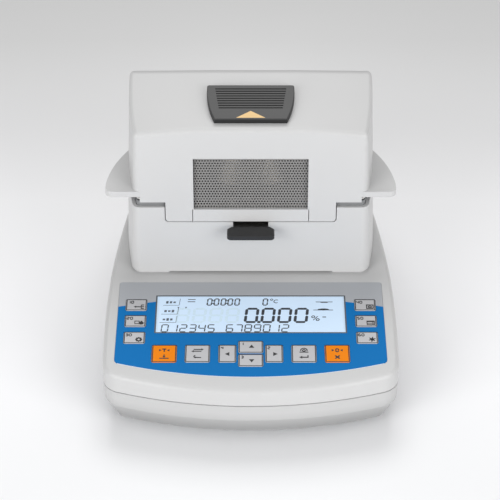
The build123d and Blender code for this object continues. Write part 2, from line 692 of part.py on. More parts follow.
with BuildPart() as display_module:
    extrude(window_outline(MODULE_TOP, MODULE_MARGIN), amount=-MODULE_THICK)
    extrude(window_outline(MODULE_TOP, -WINDOW_LEDGE - MODULE_GAP), amount=MODULE_RISE)
save(display_module.part, "display_module")

with BuildPart() as keypad_board:
    with BuildSketch(deck_plane(MODULE_TOP - MODULE_THICK)):
        with Locations((0, (WINDOW_BACK + BOARD_FRONT) / 2)):
            RectangleRounded(BOARD_WIDTH, WINDOW_BACK - BOARD_FRONT, 3)
    extrude(amount=-BOARD_THICK)
save(keypad_board.part, "keypad_board")

# Boards and the weigh cell, carried by the base plate
with BuildPart() as main_board:
    with Locations((MAIN_BOARD_X, MAIN_BOARD_Y, PLATE_TOP_Z + STANDOFF)):
        Box(MAIN_BOARD_SIZE[0], MAIN_BOARD_SIZE[1], BOARD_THICK, align=(Align.CENTER, Align.CENTER, Align.MIN))
    with Locations((MAIN_BOARD_X, MAIN_BOARD_Y, PLATE_TOP_Z)):
        with GridLocations(MAIN_BOARD_SIZE[0] - 8, MAIN_BOARD_SIZE[1] - 8, 2, 2):
            Cylinder(3, STANDOFF, align=(Align.CENTER, Align.CENTER, Align.MIN))
    with Locations((MAIN_BOARD_X, MAIN_BOARD_Y, PLATE_TOP_Z + STANDOFF + BOARD_THICK)):
        with GridLocations(*CHIP_PITCH, 3, 2):
            Box(*CHIP_SIZE, align=(Align.CENTER, Align.CENTER, Align.MIN))
save(main_board.part, "main_board")

with BuildPart() as power_supply:
    with Locations((SUPPLY_X, SUPPLY_Y, PLATE_TOP_Z)):
        Box(SUPPLY_SIZE[0], SUPPLY_SIZE[1], SUPPLY_SIZE[2], align=(Align.CENTER, Align.CENTER, Align.MIN))
    chamfer(power_supply.edges().group_by(Axis.Z)[-1], 2)
save(power_supply.part, "power_supply")

CELL_TOP_Z = PLATE_TOP_Z + CELL_LIFT + CELL_HEIGHT
CELL_FRONT_Y = PAN_Y - CELL_NOSE
CELL_LENGTH = BACK_Y - CELL_REAR_ROOM - CELL_FRONT_Y

with BuildPart() as weigh_cell_bracket:
    with Locations((0, CELL_FRONT_Y + CELL_LENGTH, PLATE_TOP_Z)):
        Box(CELL_WIDTH + 12, CELL_FIXED, CELL_LIFT, align=(Align.CENTER, Align.MAX, Align.MIN))
save(weigh_cell_bracket.part, "weigh_cell_bracket")

with BuildPart() as weigh_cell:
    with Locations((0, CELL_FRONT_Y, PLATE_TOP_Z + CELL_LIFT)):
        Box(CELL_WIDTH, CELL_LENGTH, CELL_HEIGHT, align=(Align.CENTER, Align.MIN, Align.MIN))
    middle = (-CELL_WIDTH, CELL_FRONT_Y + CELL_LENGTH / 2, CELL_TOP_Z - CELL_HEIGHT / 2)
    with BuildSketch(Plane(origin=middle, x_dir=(0, 1, 0), z_dir=(1, 0, 0))):
        Rectangle(CELL_BORE_SPREAD, CELL_SLOT)
        with Locations((-CELL_BORE_SPREAD / 2, 0), (CELL_BORE_SPREAD / 2, 0)):
            Circle(CELL_BORE_RADIUS)
    extrude(amount=2 * CELL_WIDTH, mode=Mode.SUBTRACT)
    with Locations((0, PAN_Y, CELL_TOP_Z)):
        Cylinder(
            STEM_DIAMETER / 2 + RUNNING_GAP, CELL_SOCKET + PAN_TRAVEL + KEY_GAP / 2,
            align=(Align.CENTER, Align.CENTER, Align.MAX), mode=Mode.SUBTRACT,
        )
save(weigh_cell.part, "weigh_cell")

# Lower chamber shell: drafted barrel walls, a deck with a round well, and a notch for the lid's apron
def chamber_block(low, high, inset):
    """Drafted solid between two heights, with its wall moved in by an inset."""
    with BuildPart() as block:
        loft([chamber_outline(low, inset), chamber_outline(high, inset)])
    return block.part


def front_cut(low, high, half, corner, depth=FRONT_CUT_DEPTH):
    """Upright block through the front wall, with rounded lower corners."""
    with BuildSketch(Plane.XZ.offset(-(CHAMBER_Y - depth / 2))) as shape:
        with Locations((0, (low + high) / 2)):
            Rectangle(2 * half, high - low)
        if corner > 0:
            fillet(shape.vertices().group_by(Axis.Y)[0], corner)
    with BuildPart() as block:
        extrude(shape.sketch, amount=-depth)
    return block.part


NOTCH_Z = APRON_Z - APRON_GAP
EAR_STEP = HINGE_ARM / 2 + HINGE_SIDE_GAP + HINGE_EAR_WIDTH / 2
EAR_SPOTS = [side * HINGE_X + step for side in (-1, 1) for step in (-EAR_STEP, EAR_STEP)]
WELL_RADIUS = WELL_DIAMETER / 2


def side_plane(x):
    """Upright plane facing +X, with depth and height as its axes."""
    return Plane(origin=(x, 0, 0), x_dir=(0, 1, 0), z_dir=(1, 0, 0))


def hinge_ear(x):
    """Ear on the back of the lower shell, bored for the hinge pin."""
    low = HINGE_Z - HINGE_EAR_DROP
    with BuildPart() as ear:
        with BuildSketch(side_plane(x - HINGE_EAR_WIDTH / 2)):
            with BuildLine():
                Polyline(
                    (CHAMBER_BACK_Y - CHAMBER_WALL / 2, low),
                    (CHAMBER_BACK_Y - chamber_inset(low), low),
                    (HINGE_Y + HINGE_EAR_RADIUS, HINGE_Z),
                    (HINGE_Y - HINGE_EAR_RADIUS, HINGE_Z),
                    (HINGE_Y - HINGE_EAR_RADIUS, CHAMBER_RIM_Z),
                    (CHAMBER_BACK_Y - CHAMBER_WALL / 2, CHAMBER_RIM_Z),
                    close=True,
                )
            make_face()
            with Locations((HINGE_Y, HINGE_Z)):
                Circle(HINGE_EAR_RADIUS)
                Circle(HINGE_PIN_DIAMETER / 2 + RUNNING_GAP, mode=Mode.SUBTRACT)
        extrude(amount=HINGE_EAR_WIDTH)
    return ear.part


with BuildPart() as chamber_base:
    add(chamber_block(CHAMBER_BOTTOM_Z, CHAMBER_RIM_Z, 0))
    add(chamber_block(CHAMBER_BOTTOM_Z, CHAMBER_DECK_Z - CHAMBER_WALL, CHAMBER_WALL), mode=Mode.SUBTRACT)
    add(chamber_block(CHAMBER_DECK_Z, CHAMBER_RIM_Z + 1, CHAMBER_WALL + LIP_SEAT), mode=Mode.SUBTRACT)
    add(chamber_block(LIP_SEAT_Z, CHAMBER_RIM_Z + 1, CHAMBER_WALL), mode=Mode.SUBTRACT)
    add(chamber_block(DECK_Z, CHAMBER_BOTTOM_Z + CHAMBER_FOOT_RISE, CHAMBER_FOOT_INSET))
    foot_bore = CHAMBER_FOOT_INSET + CHAMBER_WALL
    add(chamber_block(DECK_Z - 1, CHAMBER_BOTTOM_Z + CHAMBER_FOOT_RISE + 1, foot_bore), mode=Mode.SUBTRACT)
    add(front_cut(DECK_Z - 1, CHAMBER_BOTTOM_Z, FOOT_BREAK_HALF, 0), mode=Mode.SUBTRACT)
    add(front_cut(NOTCH_Z, CHAMBER_RIM_Z + 1, APRON_HALF + APRON_GAP, NOTCH_RADIUS), mode=Mode.SUBTRACT)
    with Locations((0, PAN_Y, CHAMBER_DECK_Z - CHAMBER_WALL - 1)):
        Cylinder(
            WELL_RADIUS, CHAMBER_WALL + 2,
            align=(Align.CENTER, Align.CENTER, Align.MIN), mode=Mode.SUBTRACT,
        )
    slot_half = HOLDER_NECK_HALF + NECK_GAP
    with Locations((0, PAN_Y, HOLDER_Z - NECK_GAP)):
        Box(2 * slot_half, BODY_DEPTH, 20, align=(Align.CENTER, Align.MAX, Align.MIN), mode=Mode.SUBTRACT)
    for ear_x in EAR_SPOTS:
        add(hinge_ear(ear_x))
save(chamber_base.part, "chamber_base")

# Grey lip that stands inside the lower shell's rim, with a gap for the lid's apron
with BuildPart() as chamber_lip:
    add(chamber_block(LIP_SEAT_Z, LIP_TOP_Z, CHAMBER_WALL + LIP_GAP))
    add(chamber_block(LIP_SEAT_Z - 1, LIP_TOP_Z + 1, CHAMBER_WALL + LIP_SEAT), mode=Mode.SUBTRACT)
    add(front_cut(LIP_SEAT_Z - 1, LIP_TOP_Z + 1, APRON_HALF + APRON_GAP, 0), mode=Mode.SUBTRACT)
save(chamber_lip.part, "chamber_lip")


def turned(profile, name, slot=False):
    """Spins a closed profile of (radius, height) points about the pan's axis."""
    with BuildPart() as piece:
        with BuildSketch(Plane(origin=(0, PAN_Y, 0), x_dir=(1, 0, 0), z_dir=(0, -1, 0))):
            with BuildLine():
                Polyline(*profile, close=True)
            make_face()
        revolve(axis=Axis((0, PAN_Y, 0), (0, 0, 1)))
        if slot:
            with Locations((0, PAN_Y, HOLDER_Z - NECK_GAP)):
                Box(2 * slot_half, BODY_DEPTH, 20, align=(Align.CENTER, Align.MAX, Align.MIN), mode=Mode.SUBTRACT)
    save(piece.part, name)


# Steel well in the chamber's deck, and the ring that keeps draughts off the pan
LINER_RADIUS = WELL_RADIUS - LINER_GAP
LINER_TOP = CHAMBER_DECK_Z + LINER_THICK
RING_FLOOR_Z = WELL_FLOOR_Z + LINER_THICK
turned(
    [(LINER_BORE, WELL_FLOOR_Z), (LINER_RADIUS, WELL_FLOOR_Z), (LINER_RADIUS, CHAMBER_DECK_Z),
     (WELL_RADIUS + LINER_LIP, CHAMBER_DECK_Z), (WELL_RADIUS + LINER_LIP, LINER_TOP),
     (LINER_RADIUS - LINER_THICK, LINER_TOP), (LINER_RADIUS - LINER_THICK, RING_FLOOR_Z), (LINER_BORE, RING_FLOOR_Z)],
    "chamber_well", slot=True,
)
RING_OUTER = HOLDER_OUTER / 2 + 1.0
turned(
    [(RING_OUTER - 2, RING_FLOOR_Z), (LINER_RADIUS - LINER_THICK - LINER_GAP, RING_FLOOR_Z),
     (LINER_RADIUS - LINER_THICK - LINER_GAP, RING_FLOOR_Z + 1), (RING_OUTER, RING_FLOOR_Z + 1),
     (RING_OUTER - 4, HOLDER_Z), (RING_OUTER - 5.5, HOLDER_Z), (RING_OUTER - 2, RING_FLOOR_Z + 2)],
    "draught_ring",
)

# Pan holder: a ring with a neck that leads out through the front slot to the grip
CHAMBER_FACE_Y = CHAMBER_Y + chamber_inset(HOLDER_Z)
GRIP_BACK_Y = CHAMBER_FACE_Y - GRIP_STANDOFF
GRIP_TIP_Y = GRIP_BACK_Y - (GRIP_REACH - GRIP_STANDOFF)

with BuildPart() as pan_holder:
    with BuildSketch(plan_at(HOLDER_Z)):
        with Locations((0, PAN_Y)):
            Circle(HOLDER_OUTER / 2)
        with Locations((0, PAN_Y - HOLDER_INNER / 2)):
            Rectangle(2 * HOLDER_NECK_HALF, PAN_Y - HOLDER_INNER / 2 - GRIP_BACK_Y, align=(Align.CENTER, Align.MAX))
        with Locations((0, PAN_Y)):
            Circle(HOLDER_INNER / 2, mode=Mode.SUBTRACT)
    extrude(amount=HOLDER_THICK)
save(pan_holder.part, "pan_holder")

GRIP_LOW_Z = HOLDER_Z + HOLDER_THICK / 2 - GRIP_THICK / 2
with BuildPart() as pan_holder_grip:
    with BuildSketch(plan_at(GRIP_LOW_Z)) as grip_plan:
        with Locations((0, GRIP_BACK_Y)):
            Rectangle(2 * GRIP_HALF, GRIP_BACK_Y - GRIP_TIP_Y, align=(Align.CENTER, Align.MAX))
        chamfer(grip_plan.vertices().group_by(Axis.Y)[-1], GRIP_SHOULDER)
        fillet(grip_plan.vertices().group_by(Axis.Y)[0], GRIP_CORNER)
    extrude(amount=GRIP_THICK)
    chamfer(pan_holder_grip.faces().sort_by(Axis.Z)[-1].edges(), GRIP_BEVEL)
save(pan_holder_grip.part, "pan_holder_grip")

# Sample pan on its cross, whose stem stands in the weigh cell
PAN_FLOOR_Z = HOLDER_Z + HOLDER_THICK + PAN_LIFT - PAN_DEPTH
turned(
    [(0, PAN_FLOOR_Z), (PAN_FLOOR_DIAMETER / 2, PAN_FLOOR_Z), (PAN_DIAMETER / 2 - 4, PAN_FLOOR_Z + PAN_DEPTH - PAN_WALL),
     (PAN_DIAMETER / 2, PAN_FLOOR_Z + PAN_DEPTH - PAN_WALL), (PAN_DIAMETER / 2, PAN_FLOOR_Z + PAN_DEPTH),
     (PAN_DIAMETER / 2 - 4.6, PAN_FLOOR_Z + PAN_DEPTH), (PAN_FLOOR_DIAMETER / 2 - 0.6, PAN_FLOOR_Z + PAN_WALL),
     (0, PAN_FLOOR_Z + PAN_WALL)],
    "sample_pan",
)

with BuildPart() as pan_support:
    with Locations((0, PAN_Y, CELL_TOP_Z - CELL_SOCKET)):
        Cylinder(STEM_DIAMETER / 2, PAN_FLOOR_Z - 4 - CELL_TOP_Z + CELL_SOCKET,
                 align=(Align.CENTER, Align.CENTER, Align.MIN))
    with BuildSketch(plan_at(PAN_FLOOR_Z - 4)):
        with Locations((0, PAN_Y)):
            Circle(10)
            with PolarLocations(0, 4, start_angle=45):
                Rectangle(CROSS_REACH, CROSS_WIDTH, align=(Align.MIN, Align.CENTER))
    extrude(amount=1.5)
    with Locations((0, PAN_Y, PAN_FLOOR_Z - 4)):
        with PolarLocations(CROSS_REACH - 3, 4, start_angle=45):
            Cylinder(2.5, 4, align=(Align.CENTER, Align.CENTER, Align.MIN))
save(pan_support.part, "pan_support")


# Lid form: drafted walls under a top that rises to a ridge, with sloping shoulders and back
def lid_profile(drop):
    """Side profile of the room above the lid, lowered by a wall."""
    rise = (LID_RIDGE_Z - LID_FRONT_TOP_Z) / (LID_RIDGE_SETBACK - CHAMBER_SETBACK)
    fall = math.tan(math.radians(LID_BACK_SLOPE))
    ahead = 40.0
    beyond = 140.0
    with BuildSketch(Plane.YZ.offset(-BIG / 2)) as profile:
        with BuildLine():
            Polyline(
                (CHAMBER_Y - ahead, LID_FRONT_TOP_Z - ahead * rise - drop),
                (RIDGE_Y, LID_RIDGE_Z - drop),
                (RIDGE_Y + beyond, LID_RIDGE_Z - drop - beyond * fall - drop * fall / 2),
                (RIDGE_Y + beyond, LID_RIDGE_Z + ahead),
                (CHAMBER_Y - ahead, LID_RIDGE_Z + ahead),
                close=True,
            )
        make_face()
    return profile.sketch


def shoulder_plane(side, drop):
    """Plane of one sloping shoulder, leaving the flat top along a slanted line."""
    front = Vector(side * LID_SHOULDER_FRONT, CHAMBER_Y, LID_FRONT_TOP_Z - drop)
    ridge = Vector(side * LID_SHOULDER_RIDGE, RIDGE_Y, LID_RIDGE_Z - drop)
    along = (ridge - front).normalized()
    tilt = math.radians(LID_SHOULDER_ANGLE)
    outward = Vector(side * math.cos(tilt), 0, -math.sin(tilt))
    normal = along.cross(outward)
    if normal.Z < 0:
        normal = normal * -1
    return Plane(origin=front, x_dir=along, z_dir=normal)


def lid_form(low, inset, drop):
    """Closed lid body from a height up, with walls moved in and the top lowered."""
    with BuildPart() as form:
        loft([chamber_outline(low, inset), chamber_outline(LID_RIDGE_Z + 5, inset)])
        extrude(lid_profile(drop), amount=BIG, mode=Mode.SUBTRACT)
        for side in (-1, 1):
            split(bisect_by=shoulder_plane(side, drop), keep=Keep.BOTTOM)
    return form.part


# Planes of the lid's drafted front and of its sloping top
FRONT_TILT = math.radians(CHAMBER_DRAFT)
FRONT_PLANE = Plane(
    origin=(0, CHAMBER_Y, CHAMBER_RIM_Z), x_dir=(1, 0, 0),
    z_dir=(0, -math.cos(FRONT_TILT), math.sin(FRONT_TILT)),
)
TOP_RISE = math.atan2(LID_RIDGE_Z - LID_FRONT_TOP_Z, LID_RIDGE_SETBACK - CHAMBER_SETBACK)
TOP_PLANE = Plane(
    origin=(0, CHAMBER_Y, LID_FRONT_TOP_Z), x_dir=(1, 0, 0),
    z_dir=(0, -math.sin(TOP_RISE), math.cos(TOP_RISE)),
)


def up_front(z):
    """Distance up the drafted front for a height above the table."""
    return (z - CHAMBER_RIM_Z) / math.cos(FRONT_TILT)


def front_panel_outline(lift, low, high, half, corner=0.0):
    """Upright rectangle on the drafted front, at a lift along its outward normal."""
    with BuildSketch(FRONT_PLANE.offset(lift)) as outline:
        with Locations((0, (up_front(low) + up_front(high)) / 2)):
            Rectangle(2 * half, up_front(high) - up_front(low))
        if corner > 0:
            fillet(outline.vertices().group_by(Axis.Y)[0], corner)
    return outline.sketch


WING_FRONT_Y = CHAMBER_Y + WING_FRONT_STEP
WING_TIP_Y = FRONT_Y + WING_TIP_SETBACK
WING_BACK_Y = FRONT_Y + WING_BACK_SETBACK


def wing(side):
    """Level hand plate on one side of the lid, with a curved outer edge."""
    with BuildPart() as plate:
        with BuildSketch(plan_at(WING_UNDER_Z)) as outline:
            with BuildLine():
                root = (side * WING_ROOT_X, WING_FRONT_Y)
                front = (side * WING_HALF_SPAN, WING_FRONT_Y)
                tip = (side * WING_HALF_SPAN, WING_TIP_Y)
                sweep_point = (side * WING_MID_HALF, (WING_TIP_Y + WING_BACK_Y) / 2)
                back = (side * WING_BACK_HALF, WING_BACK_Y)
                inner = (side * WING_ROOT_X, WING_BACK_Y)
                Line(root, front)
                Line(front, tip)
                ThreePointArc(tip, sweep_point, back)
                Line(back, inner)
                Line(inner, root)
            make_face()
            outer = outline.vertices().filter_by(lambda point: abs(point.X) > WING_HALF_SPAN - 0.1)
            fillet(outer.sort_by(Axis.Y)[0], WING_CORNER_RADIUS)
        extrude(amount=WING_TOP_Z - WING_UNDER_Z)
    return plate.part


# Lid shell: hollow form with the apron, both hand plates and the openings of grille and panel
def borders_top(edge):
    """Tells whether an edge runs along the border between the lid's walls and its top."""
    box = edge.bounding_box()
    on_wall = edge.center().Y < CHAMBER_Y + 10 or abs(edge.center().X) > CHAMBER_BACK_HALF
    return on_wall and box.min.Z > LID_EDGE_Z + 1 and edge.center().Z > LID_FRONT_TOP_Z - 8


def crosses_ridge(edge):
    """Tells whether an edge belongs to the ridge, where the top turns down to the rear."""
    near = abs(edge.center().Y - RIDGE_Y) < 8 and edge.length > 25
    return near and edge.center().Z > LID_RIDGE_Z - 6


def under_wing(side):
    """Room under one hand plate, where the lid's lower edge steps up."""
    with BuildPart() as room:
        with Locations((side * WING_ROOT_X, CHAMBER_Y - 10, LID_EDGE_Z - 2)):
            outward = Align.MIN if side > 0 else Align.MAX
            Box(
                BODY_WIDTH, WING_BACK_Y - CHAMBER_Y + 10, WING_UNDER_Z - LID_EDGE_Z + 2,
                align=(outward, Align.MIN, Align.MIN),
            )
    return room.part


with BuildPart() as lid_shell:
    add(lid_form(LID_EDGE_Z, 0, 0))
    fillet(lid_shell.edges().filter_by(crosses_ridge), LID_RIDGE_ROUND)
    fillet(lid_shell.edges().filter_by(borders_top), LID_BORDER_ROUND)
    extrude(front_panel_outline(0, APRON_Z, WING_UNDER_Z, APRON_HALF, NOTCH_RADIUS), amount=-CHAMBER_WALL)
    for side in (-1, 1):
        add(wing(side))
    add(lid_form(LID_EDGE_Z - 1, CHAMBER_WALL, CHAMBER_WALL), mode=Mode.SUBTRACT)
    for side in (-1, 1):
        add(under_wing(side), mode=Mode.SUBTRACT)
    through = CHAMBER_WALL + 10
    extrude(
        front_panel_outline(5, GRILLE_LOW_Z - 1, GRILLE_HIGH_Z, GRILLE_HALF),
        amount=-through, mode=Mode.SUBTRACT,
    )
    extrude(
        front_panel_outline(5, APRON_Z - 2, GRILLE_LOW_Z, PANEL_HALF),
        amount=-through, mode=Mode.SUBTRACT,
    )
save(lid_shell.part, "lid_shell")

# Hinge arms on the back of the lid, each between two ears of the lower shell
ARM_LOW_Z = LID_EDGE_Z + LIP_GAP
ARM_HIGH_Z = LID_EDGE_Z + HINGE_EAR_RADIUS

with BuildPart() as hinge_arms:
    for side in (-1, 1):
        with BuildSketch(side_plane(side * HINGE_X - HINGE_ARM / 2)):
            with BuildLine():
                Polyline(
                    (CHAMBER_BACK_Y - chamber_inset(ARM_LOW_Z), ARM_LOW_Z),
                    (HINGE_Y - HINGE_EAR_RADIUS / 2, HINGE_Z),
                    (HINGE_Y + HINGE_EAR_RADIUS * math.cos(math.radians(45)),
                     HINGE_Z + HINGE_EAR_RADIUS * math.sin(math.radians(45))),
                    (CHAMBER_BACK_Y - chamber_inset(ARM_HIGH_Z), ARM_HIGH_Z),
                    close=True,
                )
            make_face()
            with Locations((HINGE_Y, HINGE_Z)):
                Circle(HINGE_EAR_RADIUS)
                Circle(HINGE_PIN_DIAMETER / 2 + RUNNING_GAP, mode=Mode.SUBTRACT)
        extrude(amount=HINGE_ARM)
save(hinge_arms.part, "hinge_arms")

with BuildPart() as hinge_pins:
    for side in (-1, 1):
        with Locations(Location((side * HINGE_X, HINGE_Y, HINGE_Z), (0, 90, 0))):
            Cylinder(HINGE_PIN_DIAMETER / 2, HINGE_ARM + 2 * (HINGE_SIDE_GAP + HINGE_EAR_WIDTH))
save(hinge_pins.part, "hinge_pins")

# Panel under the grille, and the perforated sheet that stands behind both
with BuildPart() as front_panel:
    extrude(
        front_panel_outline(0, APRON_Z, GRILLE_LOW_Z, PANEL_HALF - PANEL_GROOVE),
        amount=-CHAMBER_WALL,
    )
save(front_panel.part, "front_panel")

GRILLE_COLUMNS = int(2 * GRILLE_HALF / GRILLE_PITCH)
GRILLE_ROWS = int((GRILLE_HIGH_Z - GRILLE_LOW_Z) / (GRILLE_PITCH * math.cos(math.radians(30))))

with BuildPart() as front_grille:
    extrude(
        front_panel_outline(
            -CHAMBER_WALL, GRILLE_LOW_Z - PANEL_SEAT, GRILLE_HIGH_Z + GRILLE_MARGIN,
            GRILLE_HALF + GRILLE_MARGIN,
        ),
        amount=-GRILLE_SHEET,
    )
    with BuildSketch(FRONT_PLANE.offset(-CHAMBER_WALL)):
        with Locations((0, (up_front(GRILLE_LOW_Z) + up_front(GRILLE_HIGH_Z)) / 2)):
            with HexLocations(GRILLE_PITCH / 2, GRILLE_COLUMNS, GRILLE_ROWS):
                RegularPolygon(GRILLE_HOLE / 2, 6)
    extrude(amount=-GRILLE_SHEET, mode=Mode.SUBTRACT)
save(front_grille.part, "front_grille")

# Handle on the lid's top, with a ribbed finger pad and a triangular inlay
HANDLE_BACK = HANDLE_FRONT + HANDLE_LENGTH
RIB_BACK = HANDLE_BACK - HANDLE_RIB_MARGIN


def handle_outline():
    """Outline of the handle on the lid's top, wider towards the rear."""
    with BuildSketch(TOP_PLANE) as outline:
        with BuildLine():
            front = (HANDLE_FRONT_HALF, HANDLE_FRONT)
            waist = (HANDLE_WAIST_HALF, HANDLE_FRONT + HANDLE_WAIST_SETBACK)
            back = (HANDLE_BACK_HALF, HANDLE_BACK)
            Line((-front[0], front[1]), front)
            ThreePointArc(front, waist, back)
            Line(back, (-back[0], back[1]))
            ThreePointArc((-back[0], back[1]), (-waist[0], waist[1]), (-front[0], front[1]))
        make_face()
        fillet(outline.vertices().group_by(Axis.Y)[-1], HANDLE_BACK_RADIUS)
    return outline.sketch


def inlay_outline():
    """Triangle near the handle's front edge, on the handle's top."""
    flank = math.hypot(INLAY_HALF, INLAY_RISE)
    with BuildSketch(TOP_PLANE.offset(HANDLE_HEIGHT)) as outline:
        with Locations((0, HANDLE_FRONT + INLAY_FRONT)):
            Triangle(a=2 * INLAY_HALF, b=flank, c=flank, align=(Align.CENTER, Align.MIN))
    return outline.sketch


with BuildPart() as lid_handle:
    extrude(handle_outline(), amount=HANDLE_HEIGHT)
    upper_face = lid_handle.faces().sort_by(Axis((0, 0, 0), TOP_PLANE.z_dir))[-1]
    chamfer(upper_face.edges(), HANDLE_BEVEL)
    with BuildSketch(TOP_PLANE.offset(HANDLE_HEIGHT)):
        for index in range(HANDLE_RIBS):
            with Locations((0, RIB_BACK - index * HANDLE_RIB_PITCH)):
                Rectangle(2 * (HANDLE_RIB_HALF - index * HANDLE_RIB_TAPER), HANDLE_GROOVE)
    extrude(amount=-HANDLE_GROOVE_DEPTH, mode=Mode.SUBTRACT)
    extrude(inlay_outline(), amount=-INLAY_DEPTH, mode=Mode.SUBTRACT)
save(lid_handle.part, "lid_handle")

with BuildPart() as handle_inlay:
    extrude(inlay_outline(), amount=-INLAY_DEPTH)
save(handle_inlay.part, "handle_inlay")

# Lid frame: a steel sheet across the lid's underside, open under the lamps
FRAME_TOP_Z = FRAME_Z + FRAME_THICK

with BuildPart() as lid_frame:
    add(chamber_block(FRAME_Z, FRAME_TOP_Z, CHAMBER_WALL + LIP_GAP))
    relief_half = GRILLE_HALF + GRILLE_MARGIN + LIP_GAP
    relief_depth = 2 * (CHAMBER_WALL + GRILLE_SHEET + LIP_GAP)
    add(front_cut(FRAME_Z - 1, FRAME_TOP_Z + 1, relief_half, 0, relief_depth), mode=Mode.SUBTRACT)
    with Locations((0, PAN_Y, FRAME_Z - 1)):
        Cylinder(
            GLASS_RADIUS + LIP_GAP, FRAME_THICK + 2,
            align=(Align.CENTER, Align.CENTER, Align.MIN), mode=Mode.SUBTRACT,
        )
save(lid_frame.part, "lid_frame")

# Heating unit in the lid: glass, its retainer, the reflector, two halogen tubes and a probe
GLASS_TOP_Z = FRAME_Z + GLASS_THICK
FLANGE_RADIUS = GLASS_RADIUS + DISH_FLANGE
turned([(0, FRAME_Z), (GLASS_RADIUS, FRAME_Z), (GLASS_RADIUS, GLASS_TOP_Z), (0, GLASS_TOP_Z)], "guard_glass")

RETAINER_Z = FRAME_Z - RETAINER_THICK
RETAINER_BORE = GLASS_RADIUS - DISH_FLANGE
turned(
    [(RETAINER_BORE, RETAINER_Z), (FLANGE_RADIUS, RETAINER_Z), (FLANGE_RADIUS, FRAME_Z), (RETAINER_BORE, FRAME_Z)],
    "glass_retainer",
)

DISH_RADIUS = GLASS_RADIUS + LIP_GAP
DISH_TOP_Z = FRAME_TOP_Z + DISH_HEIGHT
CEILING_Z = DISH_TOP_Z - DISH_WALL
turned(
    [(DISH_RADIUS, FRAME_TOP_Z), (FLANGE_RADIUS, FRAME_TOP_Z), (FLANGE_RADIUS, FRAME_TOP_Z + DISH_WALL),
     (DISH_RADIUS + DISH_WALL, FRAME_TOP_Z + DISH_WALL), (DISH_RADIUS + DISH_WALL, FRAME_TOP_Z + DISH_SKIRT),
     (DISH_TOP_RADIUS, DISH_TOP_Z), (0, DISH_TOP_Z), (0, CEILING_Z), (DISH_TOP_RADIUS - DISH_WALL, CEILING_Z),
     (DISH_RADIUS, FRAME_TOP_Z + DISH_SKIRT)],
    "reflector",
)

TUBE_Z = FRAME_TOP_Z + TUBE_LIFT
with BuildPart() as halogen_tubes:
    for side in (-1, 1):
        with Locations(Location((0, PAN_Y + side * TUBE_SPREAD, TUBE_Z), (0, 90, 0))):
            Cylinder(TUBE_RADIUS, 2 * TUBE_HALF)
save(halogen_tubes.part, "halogen_tubes")

with BuildPart() as lamp_holders:
    for side in (-1, 1):
        with Locations((side * (TUBE_HALF + HOLDER_BLOCK / 2), PAN_Y, TUBE_Z - TUBE_RADIUS - 1)):
            Box(
                HOLDER_BLOCK, 2 * TUBE_SPREAD + TUBE_RADIUS, CEILING_Z - TUBE_Z + TUBE_RADIUS + 1,
                align=(Align.CENTER, Align.CENTER, Align.MIN),
            )
save(lamp_holders.part, "lamp_holders")

PROBE_Z = GLASS_TOP_Z + PROBE_GAP
with BuildPart() as temperature_probe:
    with Locations((0, PAN_Y, PROBE_Z)):
        Cylinder(PROBE_RADIUS, CEILING_Z - PROBE_Z, align=(Align.CENTER, Align.CENTER, Align.MIN))
save(temperature_probe.part, "temperature_probe")
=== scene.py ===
"""Looks of a halogen moisture analyzer: finishes, legends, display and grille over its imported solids.

Lengths are metres, +Z is up and the keypad faces -Y, as in the frame.
"""
import json
import logging
import math
from dataclasses import dataclass, replace
from enum import Enum

import bpy
import bmesh
from mathutils import Matrix, Vector


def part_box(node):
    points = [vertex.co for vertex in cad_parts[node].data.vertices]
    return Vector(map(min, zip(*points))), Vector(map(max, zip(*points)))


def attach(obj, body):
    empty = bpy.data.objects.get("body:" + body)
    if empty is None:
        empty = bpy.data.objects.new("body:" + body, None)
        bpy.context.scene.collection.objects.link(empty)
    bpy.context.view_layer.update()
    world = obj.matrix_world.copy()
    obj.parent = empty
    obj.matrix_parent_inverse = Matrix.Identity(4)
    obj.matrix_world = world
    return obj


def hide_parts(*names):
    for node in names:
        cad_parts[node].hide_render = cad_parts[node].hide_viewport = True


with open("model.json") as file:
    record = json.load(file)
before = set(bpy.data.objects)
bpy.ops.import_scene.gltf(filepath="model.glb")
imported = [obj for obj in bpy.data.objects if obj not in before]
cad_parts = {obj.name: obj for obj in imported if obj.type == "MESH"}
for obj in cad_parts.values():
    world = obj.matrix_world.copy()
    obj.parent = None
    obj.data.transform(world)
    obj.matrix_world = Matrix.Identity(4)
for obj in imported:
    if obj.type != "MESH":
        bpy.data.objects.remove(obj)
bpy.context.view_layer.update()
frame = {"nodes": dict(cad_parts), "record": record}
LOG = logging.getLogger("moisture_analyzer")
MM = 0.001
DECK_SLOPE = math.radians(5.0)
MERGE_GAP = 0.002 * MM
SMOOTH_ANGLE = math.radians(32.0)
COARSE_RELIEF = 0.0002
FINE_RELIEF = 0.0001


class Body(Enum):
    """Rigid bodies of the analyzer that pieces ride on."""

    BASE = "base"
    LID = "lid"


class Mark(Enum):
    """Shapes that the printed signs are put together from."""

    BAR = "bar"
    SEGMENT = "segment"
    TRIANGLE = "triangle"
    DISC = "disc"


